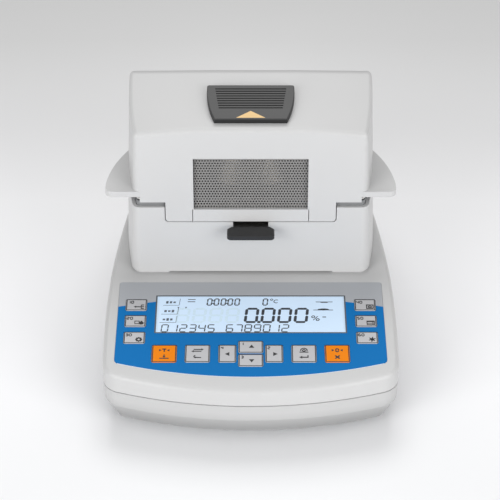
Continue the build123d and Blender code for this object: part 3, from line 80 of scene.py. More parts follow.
class Signal:
    """A shader socket that takes part in arithmetic: each operator adds one Math node."""

    def __init__(self, shader: "Shader", socket: bpy.types.NodeSocket) -> None:
        """Wraps one output socket of a shader."""
        self.shader = shader
        self.socket = socket

    def math(self, operation: str, other: "Signal | float | None" = None) -> "Signal":
        """Adds a Math node.

        Args:
            operation: the node's operation.
            other: the second value, if the operation has one.

        Returns:
            The node's output.
        """
        values: list = [self] if other is None else [self, other]
        node = self.shader.node("ShaderNodeMath", {"operation": operation}, dict(enumerate(values)))
        return Signal(self.shader, node.outputs[0])

    def __add__(self, other: "Signal | float") -> "Signal":
        """Sum."""
        return self.math("ADD", other)

    def __sub__(self, other: "Signal | float") -> "Signal":
        """Difference."""
        return self.math("SUBTRACT", other)

    def __mul__(self, other: "Signal | float") -> "Signal":
        """Product."""
        return self.math("MULTIPLY", other)

    def __lt__(self, other: "Signal | float") -> "Signal":
        """One where smaller, else zero."""
        return self.math("LESS_THAN", other)

    def __gt__(self, other: "Signal | float") -> "Signal":
        """One where larger, else zero."""
        return self.math("GREATER_THAN", other)

    def root(self) -> "Signal":
        """Square root."""
        return self.math("SQRT")

    def size(self) -> "Signal":
        """Absolute value."""
        return self.math("ABSOLUTE")


class Shader:
    """A material's node tree with one Principled surface."""

    def __init__(self, name: str, **surface: object) -> None:
        """Starts a material.

        Args:
            name: the material's name.
            surface: values of the Principled node's sockets, with spaces as underscores.
        """
        self.material = bpy.data.materials.new(name)
        self.material.use_nodes = True
        self.tree = self.material.node_tree
        self.tree.nodes.clear()
        self.surface = self.node("ShaderNodeBsdfPrincipled", {}, {})
        output = self.node("ShaderNodeOutputMaterial", {}, {})
        self.tree.links.new(self.surface.outputs[0], output.inputs[0])
        for key, value in surface.items():
            self.set(key.replace("_", " "), value)
        self.place = self.signal("ShaderNodeTexCoord", {}, {}, "Object")

    def node(self, kind: str, settings: dict, values: dict) -> bpy.types.Node:
        """Adds a node, with its settings first and then its sockets.

        Args:
            kind: the node's type.
            settings: attributes such as a Math node's operation, or a ramp's stops under "stops".
            values: socket name or number to a value, a Signal or a socket.

        Returns:
            The node.
        """
        node = self.tree.nodes.new(kind)
        for key, value in settings.items():
            if key == "stops":
                ramp = node.color_ramp
                while len(ramp.elements) < len(value):
                    ramp.elements.new(1.0)
                for element, (position, colour) in zip(ramp.elements, value):
                    element.position = position
                    element.color = (*colour, 1.0)
            else:
                setattr(node, key, value)
        for key, value in values.items():
            self.feed(node.inputs[key], value)
        return node

    def feed(self, socket: bpy.types.NodeSocket, value: object) -> None:
        """Sets one input socket to a value, or links it."""
        if isinstance(value, Signal):
            self.tree.links.new(value.socket, socket)
        elif isinstance(value, bpy.types.NodeSocket):
            self.tree.links.new(value, socket)
        else:
            socket.default_value = value

    def set(self, name: str, value: object) -> None:
        """Sets or links one socket of the surface."""
        if isinstance(value, tuple) and len(value) == 3 and "Color" in name:
            value = (*value, 1.0)
        self.feed(self.surface.inputs[name], value)

    def signal(self, kind: str, settings: dict, values: dict, output: str | int = 0) -> Signal:
        """Adds a node and returns one of its outputs."""
        return Signal(self, self.node(kind, settings, values).outputs[output])

    def noise(self, scale: float, detail: float = 2.0, stretch: tuple = (1.0, 1.0, 1.0)) -> Signal:
        """Noise over the piece's own place.

        Args:
            scale: cells to a metre.
            detail: octaves.
            stretch: scale along each axis.

        Returns:
            The noise value.
        """
        mapped = self.signal("ShaderNodeMapping", {}, {"Vector": self.place, "Scale": stretch})
        values = {"Vector": mapped, "Scale": scale, "Detail": detail}
        return self.signal("ShaderNodeTexNoise", {}, values, "Fac")

    def axes(self) -> tuple[Signal, Signal, Signal]:
        """X, Y and Z of the piece's own place."""
        split = self.node("ShaderNodeSeparateXYZ", {}, {0: self.place})
        return tuple(Signal(self, split.outputs[index]) for index in range(3))

    def mix(self, factor: Signal, first: object, second: object) -> Signal:
        """Mixes two colours by a factor from 0 to 1."""
        first = (*first, 1.0) if isinstance(first, tuple) else first
        second = (*second, 1.0) if isinstance(second, tuple) else second
        settings = {"data_type": "RGBA"}
        return self.signal("ShaderNodeMix", settings, {0: factor, 6: first, 7: second}, 2)

    def ramp(self, value: Signal, low: float, high: float) -> Signal:
        """Runs from 0 to 1 between two values."""
        values = {"Value": value, "From Min": low, "From Max": high}
        return self.signal("ShaderNodeMapRange", {}, values)

    def bump(self, height: Signal, strength: float, distance: float) -> None:
        """Makes the surface's relief from a height."""
        values = {"Height": height, "Strength": strength, "Distance": distance}
        self.set("Normal", self.signal("ShaderNodeBump", {}, values))


def tinted(colour: tuple, share: float) -> tuple:
    """A colour made lighter or darker by a share."""
    return tuple(min(1.0, channel * share) for channel in colour)


@dataclass(frozen=True)
class MouldedPlastic:
    """Injection-moulded plastic with a fine spark-eroded texture."""

    name: str
    colour: tuple
    roughness: float = 0.42
    grain: float = 1400.0
    relief: float = 0.06
    drift: float = 0.03
    shine: float = 0.5
    # Share of painted shade towards the table.
    low_shade: float = 0.0

    def build(self) -> bpy.types.Material:
        """Builds the material."""
        shader = Shader(self.name, Specular_IOR_Level=self.shine)
        cloud = shader.noise(9.0, 3.0)
        colour = shader.mix(cloud, tinted(self.colour, 1 - self.drift), tinted(self.colour, 1 + self.drift))
        # Painted shade: with low_shade set, the colour darkens towards the table between 30 mm and 12 mm up, where
        # the lower housing is tucked under.
        if self.low_shade:
            height = shader.ramp(shader.axes()[2], 30.0 * MM, 12.0 * MM)
            colour = shader.mix(height * self.low_shade, colour, tinted(self.colour, 0.2))
        shader.set("Base Color", colour)
        grain = shader.noise(self.grain, 3.0)
        smudge = shader.noise(35.0, 4.0)
        shader.set("Roughness", smudge * 0.10 + grain * 0.06 + (self.roughness - 0.08))
        shader.bump(grain, self.relief, COARSE_RELIEF)
        return shader.material


@dataclass(frozen=True)
class HandlePlastic:
    """Handle moulding with a lighter grey top over near-black sides and grooves.

    The origin is the Y and Z of a point in the plane of the lid's top, and the height is the handle's above it.
    """

    name: str
    top: tuple
    side: tuple
    origin: tuple
    tilt: float
    height: float

    def build(self) -> bpy.types.Material:
        """Builds the material."""
        shader = Shader(self.name, Specular_IOR_Level=0.35)
        _, y, z = shader.axes()
        lift = (z - self.origin[1]) * math.cos(self.tilt) - (y - self.origin[0]) * math.sin(self.tilt)
        # The top is made lighter than the sides and grooves by its height above the lid's top alone.
        lighter_top = shader.ramp(lift, self.height - 0.9 * MM, self.height - 0.2 * MM)
        scuffs = shader.noise(70.0, 5.0)
        top = shader.mix(scuffs, tinted(self.top, 0.88), tinted(self.top, 1.12))
        shader.set("Base Color", shader.mix(lighter_top, self.side, top))
        grain = shader.noise(1500.0, 3.0)
        shader.set("Roughness", scuffs * 0.12 + 0.42)
        shader.bump(grain, 0.06, COARSE_RELIEF)
        return shader.material


@dataclass(frozen=True)
class BrushedMetal:
    """Sheet or bar metal with its brush lines along one axis."""

    name: str
    colour: tuple
    roughness: float = 0.30
    stretch: tuple = (1.0, 60.0, 60.0)
    metallic: float = 1.0

    def build(self) -> bpy.types.Material:
        """Builds the material."""
        shader = Shader(self.name, Metallic=self.metallic)
        lines = shader.noise(60.0, 4.0, self.stretch)
        cloud = shader.noise(25.0, 3.0)
        shader.set("Base Color", shader.mix(lines, tinted(self.colour, 0.86), tinted(self.colour, 1.08)))
        shader.set("Roughness", lines * 0.16 + cloud * 0.10 + (self.roughness - 0.13))
        shader.bump(lines, 0.12, FINE_RELIEF)
        return shader.material


@dataclass(frozen=True)
class TurnedMetal:
    """Metal spun or turned about the pan's axis, with fine rings."""

    name: str
    colour: tuple
    centre: tuple
    roughness: float = 0.28
    rings: float = 900.0

    def build(self) -> bpy.types.Material:
        """Builds the material."""
        shader = Shader(self.name, Metallic=1.0)
        x, y, z = shader.axes()
        aside = x - self.centre[0]
        along = y - self.centre[1]
        radius = (aside * aside + along * along).root()
        place = shader.signal("ShaderNodeCombineXYZ", {}, {0: radius, 1: z, 2: 0.0})
        values = {"Vector": place, "Scale": self.rings, "Detail": 2.0}
        rings = shader.signal("ShaderNodeTexNoise", {}, values, "Fac")
        cloud = shader.noise(30.0, 4.0)
        shader.set("Base Color", shader.mix(cloud, tinted(self.colour, 0.90), tinted(self.colour, 1.06)))
        shader.set("Roughness", rings * 0.14 + cloud * 0.12 + (self.roughness - 0.13))
        shader.bump(rings, 0.10, FINE_RELIEF)
        return shader.material


@dataclass(frozen=True)
class MouldedRubber:
    """Matt rubber with dust in its texture."""

    name: str
    colour: tuple

    def build(self) -> bpy.types.Material:
        """Builds the material."""
        shader = Shader(self.name)
        dust = shader.noise(160.0, 5.0)
        grain = shader.noise(2200.0, 2.0)
        shader.set("Base Color", shader.mix(dust, self.colour, tinted(self.colour, 1.8)))
        shader.set("Roughness", dust * 0.15 + 0.70)
        shader.bump(grain, 0.15, COARSE_RELIEF)
        return shader.material


@dataclass(frozen=True)
class ClearGlass:
    """Clear heat-proof glass with a faint haze of use."""

    name: str
    colour: tuple = (0.93, 0.97, 0.97)
    alpha: float = 0.30

    def build(self) -> bpy.types.Material:
        """Builds the material."""
        shader = Shader(self.name, Base_Color=self.colour, IOR=1.47)
        haze = shader.noise(45.0, 4.0)
        shader.set("Roughness", haze * 0.06 + 0.02)
        shader.set("Alpha", haze * 0.10 + (self.alpha - 0.05))
        return shader.material


@dataclass(frozen=True)
class CircuitBoard:
    """Solder-masked board with its tracks showing faintly."""

    name: str
    mask: tuple = (0.02, 0.16, 0.07)

    def build(self) -> bpy.types.Material:
        """Builds the material."""
        shader = Shader(self.name, Specular_IOR_Level=0.6)
        values = {"Vector": shader.place, "Scale": 420.0}
        cells = shader.signal("ShaderNodeTexVoronoi", {"distance": "MANHATTAN"}, values, "Distance")
        tracks = cells < 0.42
        shader.set("Base Color", shader.mix(tracks, self.mask, tinted(self.mask, 1.9)))
        shader.set("Roughness", tracks * 0.1 + 0.32)
        shader.bump(tracks, 0.2, FINE_RELIEF)
        return shader.material


@dataclass(frozen=True)
class PrintedInk:
    """Ink or a display mark, with slightly uneven cover."""

    name: str
    colour: tuple
    roughness: float = 0.5

    def build(self) -> bpy.types.Material:
        """Builds the material."""
        shader = Shader(self.name)
        cover = shader.noise(900.0, 2.0)
        shader.set("Base Color", shader.mix(cover, tinted(self.colour, 0.9), tinted(self.colour, 1.15)))
        shader.set("Roughness", cover * 0.1 + (self.roughness - 0.05))
        return shader.material


@dataclass(frozen=True)
class KeypadFilm:
    """Printed polyester film: blue towards the user, grey behind an arc, with a pale line along its bowed front."""

    name: str
    blue: tuple
    grey: tuple
    line: tuple
    arc_centre: float
    arc_radius: float
    front_centre: float
    front_radius: float
    line_width: float = 0.25 * MM

    def build(self) -> bpy.types.Material:
        """Builds the material."""
        shader = Shader(self.name, Specular_IOR_Level=0.06)
        x, y, _ = shader.axes()
        to_arc = y - self.arc_centre
        arc = (x * x + to_arc * to_arc).root()
        behind = arc > self.arc_radius
        to_front = y - self.front_centre
        bow = (x * x + to_front * to_front).root()
        edge = bow > (self.front_radius - self.line_width)
        cloud = shader.noise(12.0, 3.0)
        blue = shader.mix(cloud, tinted(self.blue, 0.96), tinted(self.blue, 1.04))
        grey = shader.mix(cloud, tinted(self.grey, 0.97), tinted(self.grey, 1.03))
        printed = shader.mix(behind, blue, grey)
        shader.set("Base Color", shader.mix(edge, printed, self.line))
        grain = shader.noise(2600.0, 2.0)
        shader.set("Roughness", grain * 0.08 + 0.48)
        shader.bump(grain, 0.05, FINE_RELIEF)
        return shader.material


@dataclass(frozen=True)
class DisplayGlass:
    """Backlit display: pale blue, shaded along its upper and outer edges."""

    name: str
    colour: tuple
    shade: tuple
    low: Vector
    high: Vector

    def build(self) -> bpy.types.Material:
        """Builds the material."""
        shader = Shader(self.name, Roughness=0.32, Emission_Strength=0.22)
        x, y, _ = shader.axes()
        half = (self.high.x - self.low.x) / 2
        side = shader.ramp(x.size(), half - 3.5 * MM, half)
        back = shader.ramp(y, self.high.y - 3.0 * MM, self.high.y)
        cloud = shader.noise(18.0, 2.0)
        lit = shader.mix(cloud, tinted(self.colour, 0.97), tinted(self.colour, 1.02))
        edge = side * side + back * back
        mixed = shader.mix(shader.ramp(edge, 0.0, 1.0) * 0.55, lit, self.shade)
        shader.set("Base Color", mixed)
        shader.set("Emission Color", mixed)
        return shader.material


WHITE = (0.52, 0.52, 0.52)
STEEL = (0.62, 0.61, 0.59)
ALUMINIUM = (0.80, 0.80, 0.79)
FILM_BLUE = (0.005, 0.155, 0.44)
FILM_GREY = (0.39, 0.405, 0.43)
FILM_LINE = (0.72, 0.76, 0.80)
KEY_GREY = (0.455, 0.455, 0.47)
KEY_ORANGE = (0.82, 0.228, 0.008)
KEY_INK = (0.010, 0.010, 0.012)
DISPLAY_LIT = (0.53, 0.665, 0.82)
DISPLAY_SHADE = (0.22, 0.28, 0.34)
DISPLAY_DARK = (0.02, 0.025, 0.035)
DISPLAY_THIN = (0.08, 0.10, 0.13)
DISPLAY_FAINT = (0.595, 0.757, 0.913)
DISPLAY_BORDER = (0.075, 0.085, 0.10)


def deselect() -> None:
    """Leaves object mode with nothing selected."""
    if bpy.context.object and bpy.context.object.mode != "OBJECT":
        bpy.ops.object.mode_set(mode="OBJECT")
    bpy.ops.object.select_all(action="DESELECT")


def edit_all() -> None:
    """Enters edit mode on the active object, with all of its mesh selected."""
    bpy.ops.object.mode_set(mode="EDIT")
    bpy.ops.mesh.select_all(action="SELECT")


def activate(piece: bpy.types.Object) -> None:
    """Makes one object the only one selected, and active."""
    deselect()
    piece.select_set(True)
    bpy.context.view_layer.objects.active = piece


def settle(piece: bpy.types.Object) -> None:
    """Moves an object's place, turn and scale into its mesh."""
    activate(piece)
    bpy.ops.object.transform_apply(location=True, rotation=True, scale=True)


def finish(piece: bpy.types.Object, body: str, slot: str, material: bpy.types.Material) -> bpy.types.Object:
    """Gives a piece its material and its body.

    Args:
        piece: the finished object.
        body: the body it rides on.
        slot: the record's material slot; not used.
        material: its finish.

    Returns:
        The piece.
    """
    piece.data.materials.clear()
    piece.data.materials.append(material)
    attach(piece, body)
    LOG.info("%s rides on %s", piece.name, body)
    return piece


def body_of(node: str) -> str:
    """The body that a CAD node belongs to."""
    return next(body for body, nodes in frame["record"]["behaviour"]["bodies"].items() if node in nodes)


def slot_of(node: str) -> str:
    """The material slot of a CAD node."""
    return next(part["material_slot"] for part in frame["record"]["subparts"] if part["node"] == node)


def polished(node: str, material: bpy.types.Material) -> bpy.types.Object:
    """Stands in for a CAD node with the same form, its mesh merged and shaded smooth.

    Args:
        node: the CAD node.
        material: its finish.

    Returns:
        The new piece.
    """
    piece = bpy.data.objects.new(f"{node}_finished", frame["nodes"][node].data.copy())
    bpy.context.scene.collection.objects.link(piece)
    activate(piece)
    edit_all()
    bpy.ops.mesh.remove_doubles(threshold=MERGE_GAP)
    bpy.ops.mesh.customdata_custom_splitnormals_clear()
    bpy.ops.object.mode_set(mode="OBJECT")
    bpy.ops.object.shade_smooth_by_angle(angle=SMOOTH_ANGLE)
    weighted = piece.modifiers.new("weighted_normals", "WEIGHTED_NORMAL")
    weighted.keep_sharp = True
    bpy.ops.object.modifier_apply(modifier=weighted.name)
    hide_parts(node)
    return finish(piece, body_of(node), slot_of(node), material)


def dress(node: str, material: bpy.types.Material) -> None:
    """Gives a CAD node that keeps its form its material."""
    piece = frame["nodes"][node]
    piece.data.materials.clear()
    piece.data.materials.append(material)


class Stamps:
    """The few flat shapes that signs are made from, each one unit long and one unit high."""

    def __init__(self) -> None:
        """Models each shape once."""
        self.meshes = {
            Mark.BAR: self.bar(), Mark.SEGMENT: self.segment(),
            Mark.TRIANGLE: self.round_shape(3), Mark.DISC: self.round_shape(20),
        }

    def keep(self, name: str) -> bpy.types.Mesh:
        """Takes the active object's mesh and removes the object."""
        piece = bpy.context.object
        settle(piece)
        mesh = piece.data.copy()
        mesh.name = name
        bpy.data.objects.remove(piece)
        return mesh

    def bar(self) -> bpy.types.Mesh:
        """A plain bar with its upright edges nipped."""
        deselect()
        bpy.ops.mesh.primitive_cube_add(size=1.0, location=(0, 0, 0.5))
        edit_all()
        bpy.ops.mesh.bevel(offset=0.04, segments=1)
        bpy.ops.object.mode_set(mode="OBJECT")
        return self.keep("bar_stamp")

    def segment(self) -> bpy.types.Mesh:
        """A display segment with pointed ends."""
        deselect()
        bpy.ops.mesh.primitive_circle_add(vertices=6, radius=0.5, fill_type="NGON", location=(0, 0, 0))
        edit_all()
        bpy.ops.mesh.extrude_region_move(TRANSFORM_OT_translate={"value": (0, 0, 1)})
        bpy.ops.mesh.select_all(action="SELECT")
        bpy.ops.mesh.normals_make_consistent(inside=False)
        bpy.ops.object.mode_set(mode="OBJECT")
        mesh = self.keep("segment_stamp")
        for vertex in mesh.vertices:
            tip = abs(vertex.co.x) < 0.01
            side = 1 if vertex.co.y > 0 else -1
            across = 0 if tip else math.copysign(0.5, vertex.co.x)
            vertex.co = (side * (0.5 if tip else 0.38), across, vertex.co.z)
        mesh.flip_normals()
        return mesh

    def round_shape(self, corners: int) -> bpy.types.Mesh:
        """A disc or a triangle, standing on its base and pointing along +X."""
        deselect()
        bpy.ops.mesh.primitive_cylinder_add(vertices=corners, radius=0.5, depth=1.0, location=(0, 0, 0.5),
                                            rotation=(0, 0, -math.pi / 2))
        return self.keep("round_stamp")


@dataclass(frozen=True)
class Stroke:
    """One stamped shape of a sign, in millimetres on its panel."""

    kind: Mark
    x: float
    y: float
    length: float
    width: float
    turn: float = 0.0


class Panel:
    """A level or sloping face that signs are laid on."""

    def __init__(self, centre: Vector, slope: float, stamps: Stamps) -> None:
        """Starts a panel.

        Args:
            centre: a point of the face.
            slope: the face's rise towards the rear, in radians.
            stamps: the shapes.
        """
        self.matrix = Matrix.Translation(centre) @ Matrix.Rotation(slope, 4, "X")
        self.stamps = stamps

    def piece(self, name: str, strokes: list, height: float, lean: float = 0.0) -> bpy.types.Object:
        """Lays strokes on the panel as one piece.

        Args:
            name: the piece's name.
            strokes: its shapes.
            height: how far they stand proud.
            lean: slant of upright strokes, as a share of their height.

        Returns:
            The piece, at the origin.
        """
        mesh = bmesh.new()
        slant = Matrix.Identity(4)
        slant[0][1] = lean
        for stroke in strokes:
            stamp = self.stamps.meshes[stroke.kind].copy()
            size = Matrix.Diagonal((stroke.length * MM, stroke.width * MM, height * MM, 1.0))
            turn = Matrix.Rotation(math.radians(stroke.turn), 4, "Z")
            spot = Matrix.Translation((stroke.x * MM, stroke.y * MM, 0))
            stamp.transform(self.matrix @ slant @ spot @ turn @ size)
            mesh.from_mesh(stamp)
            bpy.data.meshes.remove(stamp)
        data = bpy.data.meshes.new(name)
        mesh.to_mesh(data)
        mesh.free()
        piece = bpy.data.objects.new(name, data)
        bpy.context.scene.collection.objects.link(piece)
        return piece


SEGMENTS = {
    "0": "abcdef", "1": "bc", "2": "abged", "3": "abgcd", "4": "fgbc", "5": "afgcd", "6": "afgedc",
    "7": "abc", "8": "abcdefg", "9": "abcdfg", " ": "",
}


@dataclass(frozen=True)
class DigitStyle:
    """Size of seven-segment digits, in millimetres."""

    width: float
    height: float
    pitch: float
    stroke: float

    def digit(self, text: str, x: float, y: float) -> list:
        """Strokes of one digit whose lower left corner is at a place."""
        half = self.height / 2
        gap = self.stroke * 0.25
        places = {
            "a": (self.width / 2, self.height, 0), "g": (self.width / 2, half, 0), "d": (self.width / 2, 0, 0),
            "f": (0, half * 1.5, 90), "b": (self.width, half * 1.5, 90),
            "e": (0, half * 0.5, 90), "c": (self.width, half * 0.5, 90),
        }
        strokes = []
        for name in SEGMENTS[text]:
            aside, up, turn = places[name]
            length = (half if turn else self.width) - gap
            strokes.append(Stroke(Mark.SEGMENT, x + aside, y + up, length, self.stroke, turn))
        return strokes

    def text(self, text: str, x: float, y: float) -> list:
        """Strokes of a row of digits, with points and colons between them."""
        strokes = []
        for character in text:
            middle = x - (self.pitch - self.width) / 2
            if character == ".":
                strokes.append(Stroke(Mark.BAR, middle, y, self.stroke * 1.1, self.stroke * 1.1))
            elif character == ":":
                for up in (0.3, 0.7):
                    strokes.append(Stroke(Mark.BAR, middle, y + self.height * up, self.stroke, self.stroke))
            else:
                strokes.extend(self.digit(character, x, y))
                x += self.pitch
        return strokes


def radius_of(half_chord: float, rise: float) -> float:
    """Radius of an arc from half its chord and its rise."""
    return (half_chord * half_chord + rise * rise) / (2 * rise)


def box_outline(x: float, y: float, width: float, height: float, line: float) -> list:
    """Strokes of a rectangle's outline about its centre."""
    return [
        Stroke(Mark.BAR, x, y + height / 2, width + line, line),
        Stroke(Mark.BAR, x, y - height / 2, width + line, line),
        Stroke(Mark.BAR, x - width / 2, y, line, height),
        Stroke(Mark.BAR, x + width / 2, y, line, height),
    ]


def ring(x: float, y: float, radius: float, line: float,
         count: int = 14, start: float = 0, end: float = 360) -> list:
    """Strokes of a ring, or of an arc of it, from short bars."""
    strokes = []
    step = (end - start) / count
    for index in range(count):
        angle = start + step * (index + 0.5)
        place = (x + radius * math.cos(math.radians(angle)), y + radius * math.sin(math.radians(angle)))
        length = 2 * radius * math.tan(math.radians(step / 2)) + line * 0.2
        strokes.append(Stroke(Mark.BAR, *place, length, line, angle + 90))
    return strokes


@dataclass
class Keypad:
    """Printed film, keys and the signs on them."""

    stamps: Stamps
    key_thickness: float = 1.3 * MM
    ink_height: float = 0.05
    small_number: DigitStyle = DigitStyle(1.2, 2.4, 1.9, 0.5)
    number: DigitStyle = DigitStyle(1.5, 2.4, 2.4, 0.5)
    zero_number: DigitStyle = DigitStyle(1.8, 3.0, 2.4, 0.7)
    number_place: tuple = (-6.0, 1.5)
    outline: float = 0.65
    outline_margin: tuple = (0.5, 0.6)
    weight: float = 0.22
    arc_side: float = -80.2 * MM
    arc_middle: float = -69.4 * MM
    front_bow: float = 14.0 * MM

    def film(self) -> None:
        """Dresses the keypad's film."""
        low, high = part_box("keypad_overlay")
        arc_radius = radius_of(high.x, self.arc_middle - self.arc_side)
        front_radius = radius_of(high.x, self.front_bow)
        film = KeypadFilm(
            "keypad_film", FILM_BLUE, FILM_GREY, FILM_LINE,
            self.arc_middle - arc_radius, arc_radius, low.y + front_radius, front_radius,
        )
        polished("keypad_overlay", film.build())

    def arrow(self, x: float, y: float, turn: float, size: float) -> list:
        """One arrowhead."""
        return [Stroke(Mark.TRIANGLE, x, y, size, size, turn)]

    def numbered(self, text: str) -> list:
        """A side key's plain number, in its upper left corner."""
        return self.number.text(text, *self.number_place)

    def signs(self) -> dict:
        """Each key's sign, in millimetres about the key's middle."""
        bar = Mark.BAR
        ticks = [Stroke(bar, 4.6, y, 1.9, 0.7) for y in (-0.2, -2.1, -4.0)]
        reach = 1.9
        teeth = [
            Stroke(bar, 3.2 + reach * math.cos(math.radians(turn)), -2.0 + reach * math.sin(math.radians(turn)),
                   1.0, 1.0, turn)
            for turn in range(0, 360, 45)
        ]
        rays = [Stroke(bar, 3.4, -1.9, 5.0, 0.6, turn) for turn in (20, 80, 140)]
        loop = ring(-1.4, -3.1, 0.95, 0.6, 8, 90, 270)
        return {
            "left_upper_key": self.numbered("10") + ticks
            + [Stroke(bar, 3.5, -2.1, 0.6, 4.2), Stroke(bar, 1.2, -2.1, 4.2, 0.7)]
            + self.arrow(-0.8, -2.1, 180, 2.2),
            "left_middle_key": self.numbered("20") + box_outline(1.2, -1.6, 3.0, 2.8, 0.55)
            + [Stroke(Mark.DISC, 4.3, -2.4, 3.4, 2.8), Stroke(bar, 4.3, -0.8, 1.4, 1.2)],
            "left_lower_key": self.numbered("30") + ring(3.2, -2.0, 1.4, 0.9) + teeth,
            "right_upper_key": self.numbered("40") + box_outline(3.4, -2.0, 4.6, 3.6, 0.8)
            + ring(3.4, -2.1, 1.0, 0.55, 12, 120, 420) + [Stroke(bar, 3.4, -1.3, 0.5, 1.5)],
            "right_middle_key": self.numbered("50") + box_outline(3.2, -2.1, 5.2, 3.8, 0.6)
            + [Stroke(bar, 3.2, -0.6, 5.2, 1.1), Stroke(bar, 3.2, -2.5, 5.2, 0.45)]
            + [Stroke(bar, 4.7, -2.1, 0.45, 3.6)],
            "right_lower_key": self.numbered("60") + rays + ring(3.4, -1.9, 0.9, 0.7, 10),
            "tare_key": self.arrow(-3.0, 3.2, 0, 2.4) + self.arrow(3.0, 3.2, 180, 2.4)
            + [Stroke(bar, 0, 4.4, 2.9, 0.8), Stroke(bar, 0, 3.2, 0.9, 3.0), Stroke(bar, 0, -4.9, 6.4, 0.8),
               Stroke(bar, 0, -2.4, 0.8, 2.4)] + self.arrow(0, -3.2, -90, 2.4),
            "units_key": [Stroke(bar, 0, 4.0, 5.4, 0.7), Stroke(bar, 0, 2.2, 5.4, 0.7)]
            + [Stroke(bar, 0.6, -4.1, 4.0, 0.7)]
            + self.arrow(3.2, 4.0, 0, 2.2) + self.arrow(-3.2, 2.2, 180, 2.2) + loop
            + self.arrow(-1.6, -4.1, 180, 2.0),
            "arrow_left_key": self.small_number.text("4", -4.2, 4.4) + self.arrow(0.4, -0.6, 180, 4.2),
            "arrow_up_key": self.small_number.text("1", -6.4, 1.8) + self.arrow(0.6, 0, 90, 4.2),
            "arrow_down_key": self.small_number.text("3", -6.4, 1.8) + self.arrow(0.6, -0.2, -90, 4.2),
            "arrow_right_key": self.small_number.text("2", -4.2, 4.4) + self.arrow(0.4, -0.6, 0, 4.2),
            "enter_key": ring(0, 3.0, 2.2, 0.6, 14, -10, 190) + ring(0, 3.0, 0.9, 0.55, 8)
            + [Stroke(bar, 0, 1.3, 6.2, 0.7), Stroke(bar, 0.7, -3.9, 4.6, 0.8)]
            + [Stroke(bar, 2.7, -3.1, 0.8, 2.2)]
            + self.arrow(-2.0, -3.9, 180, 2.9),
            "zero_key": self.arrow(-3.2, 3.2, 0, 2.4) + self.arrow(3.2, 3.2, 180, 2.4)
            + self.zero_number.text("0", -0.9, 1.7)
            + [Stroke(bar, 0, -3.7, 4.4, 0.9, turn) for turn in (45, -45)],
        }

    def keys(self) -> None:
        """Dresses the keys and lays their signs on them."""
        grey = MouldedPlastic("key_grey", KEY_GREY, 0.38, relief=0.03).build()
        orange = MouldedPlastic("key_orange", KEY_ORANGE, 0.5, relief=0.03, shine=0.05).build()
        ink = PrintedInk("key_ink", KEY_INK).build()
        normal = Matrix.Rotation(DECK_SLOPE, 3, "X") @ Vector((0, 0, 1))
        for name, strokes in self.signs().items():
            material = orange if name in ("tare_key", "zero_key") else grey
            polished(name, material)
            low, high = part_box(name)
            top = (low + high) / 2 + normal * (self.key_thickness / 2)
            width = (high.x - low.x) / MM - self.outline - self.outline_margin[0]
            depth = (high.y - low.y) / MM - self.outline - self.outline_margin[1]
            strokes = [replace(stroke, width=stroke.width + self.weight) for stroke in strokes]
            strokes += box_outline(0, 0, width, depth, self.outline)
            sign = Panel(top, DECK_SLOPE, self.stamps).piece(f"{name}_sign", strokes, self.ink_height)
            finish(sign, name, slot_of(name), ink)

    def build(self) -> None:
        """Builds the keypad."""
        self.film()
        self.keys()


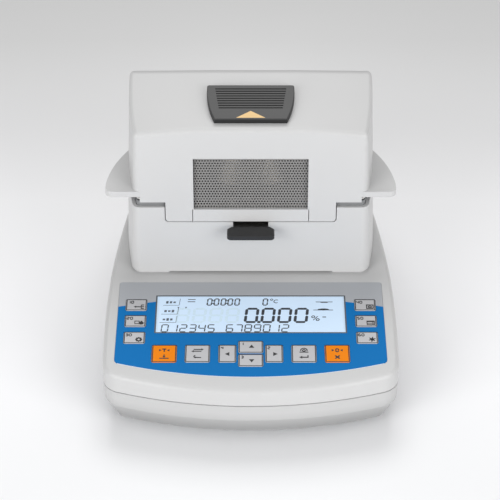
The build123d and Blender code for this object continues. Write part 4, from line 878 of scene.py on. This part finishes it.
@dataclass
class Display:
    """Display window with its frame line and what it shows."""

    stamps: Stamps
    glass_thickness: float = 0.75 * MM
    ink_height: float = 0.05
    main: DigitStyle = DigitStyle(7.9, 14.0, 11.7, 2.0)
    clock: DigitStyle = DigitStyle(3.0, 6.6, 4.9, 0.95)
    lower: DigitStyle = DigitStyle(4.4, 7.2, 6.5, 0.85)
    lean: float = 0.10
    border_line: float = 1.0
    border_margin: tuple = (0.6, 0.9)

    def shown(self) -> list:
        """Strokes of the dark marks, in millimetres about the window's middle."""
        strokes = self.main.text("0.000", -3.2, -8.3)
        strokes += self.clock.text("0:00:00", -32.0, 9.6)
        strokes += self.clock.text("0", 7.6, 9.6)
        strokes += ring(13.4, 15.4, 0.8, 0.5, 8) + ring(16.8, 13.6, 1.6, 0.6, 9, 50, 310)
        strokes += [Stroke(Mark.BAR, -43.5, y, 5.4, 0.7) for y in (13.2, 15.6)]
        strokes += self.lower.text("012345 6789012", -61.0, -18.4)
        strokes += [Stroke(Mark.TRIANGLE, x, 7.0, 2.4, 1.6, -90) for x in (-52.0, -46.6)]
        strokes += [Stroke(Mark.BAR, 51.0, 13.0, 12.0, 0.6), Stroke(Mark.BAR, 51.0, 12.4, 5.0, 0.6)]
        strokes += [Stroke(Mark.BAR, 51.0, 4.4, 14.0, 0.6), Stroke(Mark.DISC, 51.0, 5.0, 8.0, 2.0)]
        strokes += ring(44.4, -2.8, 1.0, 0.65, 8) + ring(47.8, -5.8, 1.0, 0.65, 8)
        strokes += [Stroke(Mark.BAR, 46.1, -4.3, 5.0, 0.6, 55), Stroke(Mark.BAR, 52.2, -3.0, 2.6, 0.9)]
        return strokes

    def boxes(self) -> list:
        """Thin strokes of the three status boxes on the left."""
        strokes = []
        for row, y in enumerate((13.0, 3.6, -5.2)):
            strokes += [Stroke(Mark.BAR, -57.5, y - 3.6, 11.5, 0.35), Stroke(Mark.BAR, -51.8, y, 0.35, 7.0)]
            strokes += [Stroke(Mark.BAR, -60.6 + 2.6 * column, y - 0.4, 1.7, 2.6 - 0.5 * ((row + column) % 3))
                        for column in range(3)]
        return strokes

    def ghosts(self) -> list:
        """Faint strokes of the segments that are off."""
        return self.main.text("8888", -51.8, -8.3)

    def build(self) -> None:
        """Builds the display."""
        low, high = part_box("display_window")
        glass = DisplayGlass("display_glass", DISPLAY_LIT, DISPLAY_SHADE, low, high)
        polished("display_window", glass.build())
        normal = Matrix.Rotation(DECK_SLOPE, 3, "X") @ Vector((0, 0, 1))
        top = (low + high) / 2 + normal * (self.glass_thickness / 2)
        panel = Panel(top, DECK_SLOPE, self.stamps)
        dark = PrintedInk("display_dark", DISPLAY_DARK).build()
        thin = PrintedInk("display_thin", DISPLAY_THIN).build()
        faint = PrintedInk("display_faint", DISPLAY_FAINT).build()
        slot = slot_of("display_window")
        base = Body.BASE.value
        finish(panel.piece("display_digits", self.shown(), self.ink_height, self.lean), base, slot, dark)
        finish(panel.piece("display_status", self.boxes(), self.ink_height, self.lean), base, slot, thin)
        finish(panel.piece("display_ghosts", self.ghosts(), self.ink_height / 2, self.lean), base, slot, faint)
        width = (high.x - low.x) / MM - self.border_margin[0]
        depth = (high.y - low.y) / MM / math.cos(DECK_SLOPE) - self.border_margin[1]
        border = box_outline(0, 0, width, depth, self.border_line)
        finish(panel.piece("display_border", border, self.ink_height * 2), base, slot,
               PrintedInk("display_border", DISPLAY_BORDER).build())


@dataclass
class Grille:
    """Finely perforated sheet behind the opening in the lid's front."""

    columns: int = 41
    row_pairs: int = 10
    half_width: float = 40.5 * MM
    low_z: float = 114.3 * MM
    high_z: float = 155.7 * MM
    hole_share: float = 0.70
    sheet: float = 0.5 * MM
    draft: float = math.radians(2.2)

    def cell(self, width: float, height: float) -> bpy.types.Object:
        """One tile of the sheet: two staggered cells with an eight-sided hole each, in its own XY plane."""
        deselect()
        bpy.ops.mesh.primitive_circle_add(vertices=8, radius=self.hole_share * width / 2, location=(0, 0, 0))
        tile = bpy.context.object
        edit_all()
        bpy.ops.mesh.extrude_edges_move()
        bpy.ops.object.mode_set(mode="OBJECT")
        for vertex in tile.data.vertices:
            if vertex.select:
                reach = max(abs(vertex.co.x) / (width / 2), abs(vertex.co.y) / (height / 2))
                vertex.co.x /= reach
                vertex.co.y /= reach
        activate(tile)
        edit_all()
        bpy.ops.mesh.duplicate_move(TRANSFORM_OT_translate={"value": (width / 2, height, 0)})
        bpy.ops.mesh.select_all(action="SELECT")
        bpy.ops.mesh.normals_make_consistent(inside=False)
        bpy.ops.object.mode_set(mode="OBJECT")
        return tile

    def build(self) -> None:
        """Builds the sheet in place of the coarse one."""
        low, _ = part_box("front_grille")
        width = 2 * self.half_width / (self.columns - 0.5)
        height = (self.high_z - self.low_z) / math.cos(self.draft) / (2 * self.row_pairs)
        sheet = self.cell(width, height)
        activate(sheet)
        steps = (("across", self.columns, (width, 0, 0)), ("up", self.row_pairs, (0, 2 * height, 0)))
        for name, count, offset in steps:
            array = sheet.modifiers.new(name, "ARRAY")
            array.count = count
            array.use_relative_offset = False
            array.use_constant_offset = True
            array.constant_offset_displace = offset
            bpy.ops.object.modifier_apply(modifier=name)
        edit_all()
        bpy.ops.mesh.remove_doubles(threshold=0.01 * MM)
        bpy.ops.object.mode_set(mode="OBJECT")
        middle = (self.low_z + self.high_z) / 2
        face_y = low.y + (middle - low.z) * math.tan(self.draft) + self.sheet / 2
        rise = Matrix.Translation((0, face_y, middle)) @ Matrix.Rotation(math.pi / 2 - self.draft, 4, "X")
        corner = Vector((-self.half_width + width / 4, -(2 * self.row_pairs - 1) * height / 2, 0))
        sheet.data.transform(rise @ Matrix.Translation(corner))
        wall = sheet.modifiers.new("sheet", "SOLIDIFY")
        wall.thickness = self.sheet
        wall.offset = 0
        bpy.ops.object.modifier_apply(modifier=wall.name)
        sheet.name = "fine_grille"
        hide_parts("front_grille")
        paint = MouldedPlastic("grille_paint", (0.235, 0.23, 0.225), 0.5, relief=0.02, shine=0.2)
        finish(sheet, Body.LID.value, slot_of("front_grille"), paint.build())


@dataclass
class Housing:
    """The base: housings, plate, feet and rear sockets."""

    white: bpy.types.Material

    def build(self) -> None:
        """Dresses the base."""
        polished("upper_housing", self.white)
        # Painted shade: the lower housing is the white plastic made darker, and darker still towards the table.
        polished("lower_housing", MouldedPlastic("shaded_skirt_plastic", tinted(WHITE, 0.93), low_shade=0.42).build())
        steel = BrushedMetal("sheet_steel", STEEL).build()
        black = MouldedPlastic("black_plastic", (0.03, 0.03, 0.032), 0.45).build()
        rubber = MouldedRubber("foot_rubber", (0.02, 0.02, 0.02)).build()
        board = CircuitBoard("circuit_board").build()
        dark = MouldedPlastic("rear_grey", (0.12, 0.12, 0.125), 0.5).build()
        polished("base_plate", BrushedMetal("zinc_plate", (0.55, 0.56, 0.56), 0.4).build())
        polished("housing_screws", steel)
        polished("rear_panel", dark)
        polished("mains_inlet", black)
        polished("serial_port", steel)
        polished("usb_ports", steel)
        for node in ("keypad_board", "main_board"):
            dress(node, board)
        dress("display_module", black)
        dress("power_supply", BrushedMetal("supply_case", (0.5, 0.5, 0.5), 0.45).build())
        dress("weigh_cell", BrushedMetal("cell_aluminium", ALUMINIUM, 0.35).build())
        dress("weigh_cell_bracket", steel)
        for corner in ("front_left", "front_right", "back_left", "back_right"):
            polished(f"{corner}_foot_pad", rubber)
            polished(f"{corner}_foot_screw", black)


@dataclass
class Chamber:
    """Lower chamber shell, pan, holder and draught parts."""

    white: bpy.types.Material
    pan_centre: tuple

    def build(self) -> None:
        """Dresses the chamber."""
        polished("chamber_base", self.white)
        polished("chamber_lip", MouldedPlastic("lip_grey", (0.20, 0.205, 0.21), 0.5).build())
        turned = TurnedMetal("turned_steel", STEEL, self.pan_centre).build()
        spun = TurnedMetal("spun_aluminium", ALUMINIUM, self.pan_centre, 0.24).build()
        steel = BrushedMetal("holder_steel", STEEL).build()
        polished("chamber_well", turned)
        polished("draught_ring", spun)
        polished("sample_pan", spun)
        polished("pan_support", steel)
        polished("pan_holder", steel)
        grip = MouldedPlastic("grip_black", (0.024, 0.024, 0.025), 0.45, shine=0.35)
        polished("pan_holder_grip", grip.build())


@dataclass
class Lid:
    """Lid shell, handle, grille, hinge and heating unit."""

    white: bpy.types.Material
    pan_centre: tuple

    def build(self) -> None:
        """Dresses the lid."""
        polished("lid_shell", self.white)
        polished("front_panel", self.white)
        polished("hinge_arms", self.white)
        handle = HandlePlastic(
            "handle_plastic", top=(0.062, 0.062, 0.062), side=(0.017, 0.017, 0.018),
            origin=(-41.2 * MM, 178.4 * MM), tilt=math.radians(9.87), height=4.2 * MM,
        )
        polished("lid_handle", handle.build())
        polished("handle_inlay", MouldedPlastic("amber_inlay", (0.74, 0.50, 0.22), 0.4, shine=0.3).build())
        steel = BrushedMetal("frame_steel", STEEL).build()
        for node in ("hinge_pins", "lid_frame", "temperature_probe"):
            polished(node, steel)
        polished("glass_retainer", TurnedMetal("retainer_steel", STEEL, self.pan_centre).build())
        mirror = TurnedMetal("reflector_gold", (0.20, 0.18, 0.15), self.pan_centre, 0.3)
        polished("reflector", mirror.build())
        polished("guard_glass", ClearGlass("guard_glass").build())
        polished("halogen_tubes", ClearGlass("lamp_glass", alpha=0.4).build())
        polished("lamp_holders", MouldedPlastic("ceramic_white", (0.72, 0.69, 0.62), 0.6).build())
        Grille().build()


@dataclass(frozen=True)
class Lamp:
    """One square soft light aimed at a point."""

    name: str
    place: tuple
    target: tuple
    size: float
    power: float


@dataclass
class Studio:
    """Pale floor, soft lights and the camera."""

    camera_place: tuple = (-0.0005, -1.1833, 0.8789)
    camera_pitch: float = 35.0
    lens: float = 139.4
    sensor: float = 36.0
    sky: float = 0.38
    floor_size: float = 12.0
    floor_front: float = -0.25
    floor_rear: float = 0.55
    # Painted light falloff: the floor's colour darkens towards the rear.
    floor_falloff_tones: tuple = (
        (0.06, (0.87, 0.875, 0.885)), (0.24, (0.91, 0.91, 0.925)), (0.49, (0.88, 0.88, 0.89)),
        (0.83, (0.625, 0.625, 0.625)), (0.92, (0.59, 0.59, 0.59)),
    )
    lamps: tuple = (
        Lamp("key_light", (-1.6, -1.9, 0.95), (0, 0, 0.08), 1.5, 40.0),
        Lamp("fill_light", (1.6, -1.9, 0.9), (0, 0, 0.08), 1.5, 37.5),
        Lamp("rear_light", (0, 0.9, 1.9), (0, 0, 0.1), 1.2, 18.0),
    )

    def floor(self) -> None:
        """Adds the floor, whose tone falls off towards the rear as painted light falloff."""
        deselect()
        bpy.ops.mesh.primitive_plane_add(size=self.floor_size, location=(0, 0, 0))
        plane = bpy.context.object
        plane.name = "studio_floor"
        shader = Shader("floor_paint", Roughness=0.9, Specular_IOR_Level=0.1)
        _, y, _ = shader.axes()
        depth = shader.ramp(y, self.floor_front, self.floor_rear)
        tones = {"stops": self.floor_falloff_tones}
        shader.set("Base Color", shader.signal("ShaderNodeValToRGB", tones, {0: depth}))
        grain = shader.noise(300.0, 2.0)
        shader.bump(grain, 0.02, COARSE_RELIEF)
        plane.data.materials.append(shader.material)

    def light(self, lamp: Lamp) -> None:
        """Adds one light."""
        data = bpy.data.lights.new(lamp.name, "AREA")
        data.shape = "SQUARE"
        data.size = lamp.size
        data.energy = lamp.power
        piece = bpy.data.objects.new(lamp.name, data)
        bpy.context.scene.collection.objects.link(piece)
        piece.location = lamp.place
        aim = Vector(lamp.target) - Vector(lamp.place)
        piece.rotation_euler = aim.to_track_quat("-Z", "Y").to_euler()

    def build(self) -> None:
        """Builds the studio."""
        scene = bpy.context.scene
        scene.view_settings.view_transform = "Standard"
        self.floor()
        for lamp in self.lamps:
            self.light(lamp)
        world = bpy.data.worlds.new("studio")
        world.use_nodes = True
        background = world.node_tree.nodes["Background"]
        background.inputs["Color"].default_value = (1.0, 1.0, 1.0, 1.0)
        background.inputs["Strength"].default_value = self.sky
        scene.world = world
        data = bpy.data.cameras.new("camera")
        data.lens = self.lens
        data.sensor_width = self.sensor
        camera = bpy.data.objects.new("camera", data)
        camera.location = self.camera_place
        camera.rotation_euler = (math.radians(90.0 - self.camera_pitch), 0, 0)
        scene.collection.objects.link(camera)
        scene.camera = camera


def main() -> None:
    """Builds the analyzer's looks."""
    logging.basicConfig(level=logging.INFO)
    stamps = Stamps()
    white = MouldedPlastic("white_plastic", WHITE, 0.42).build()
    low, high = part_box("sample_pan")
    centre = tuple((low + high) / 2)
    Studio().build()
    Housing(white).build()
    Keypad(stamps).build()
    Display(stamps).build()
    Chamber(white, centre).build()
    Lid(white, centre).build()
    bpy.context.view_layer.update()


if __name__ == "__main__":
    main()
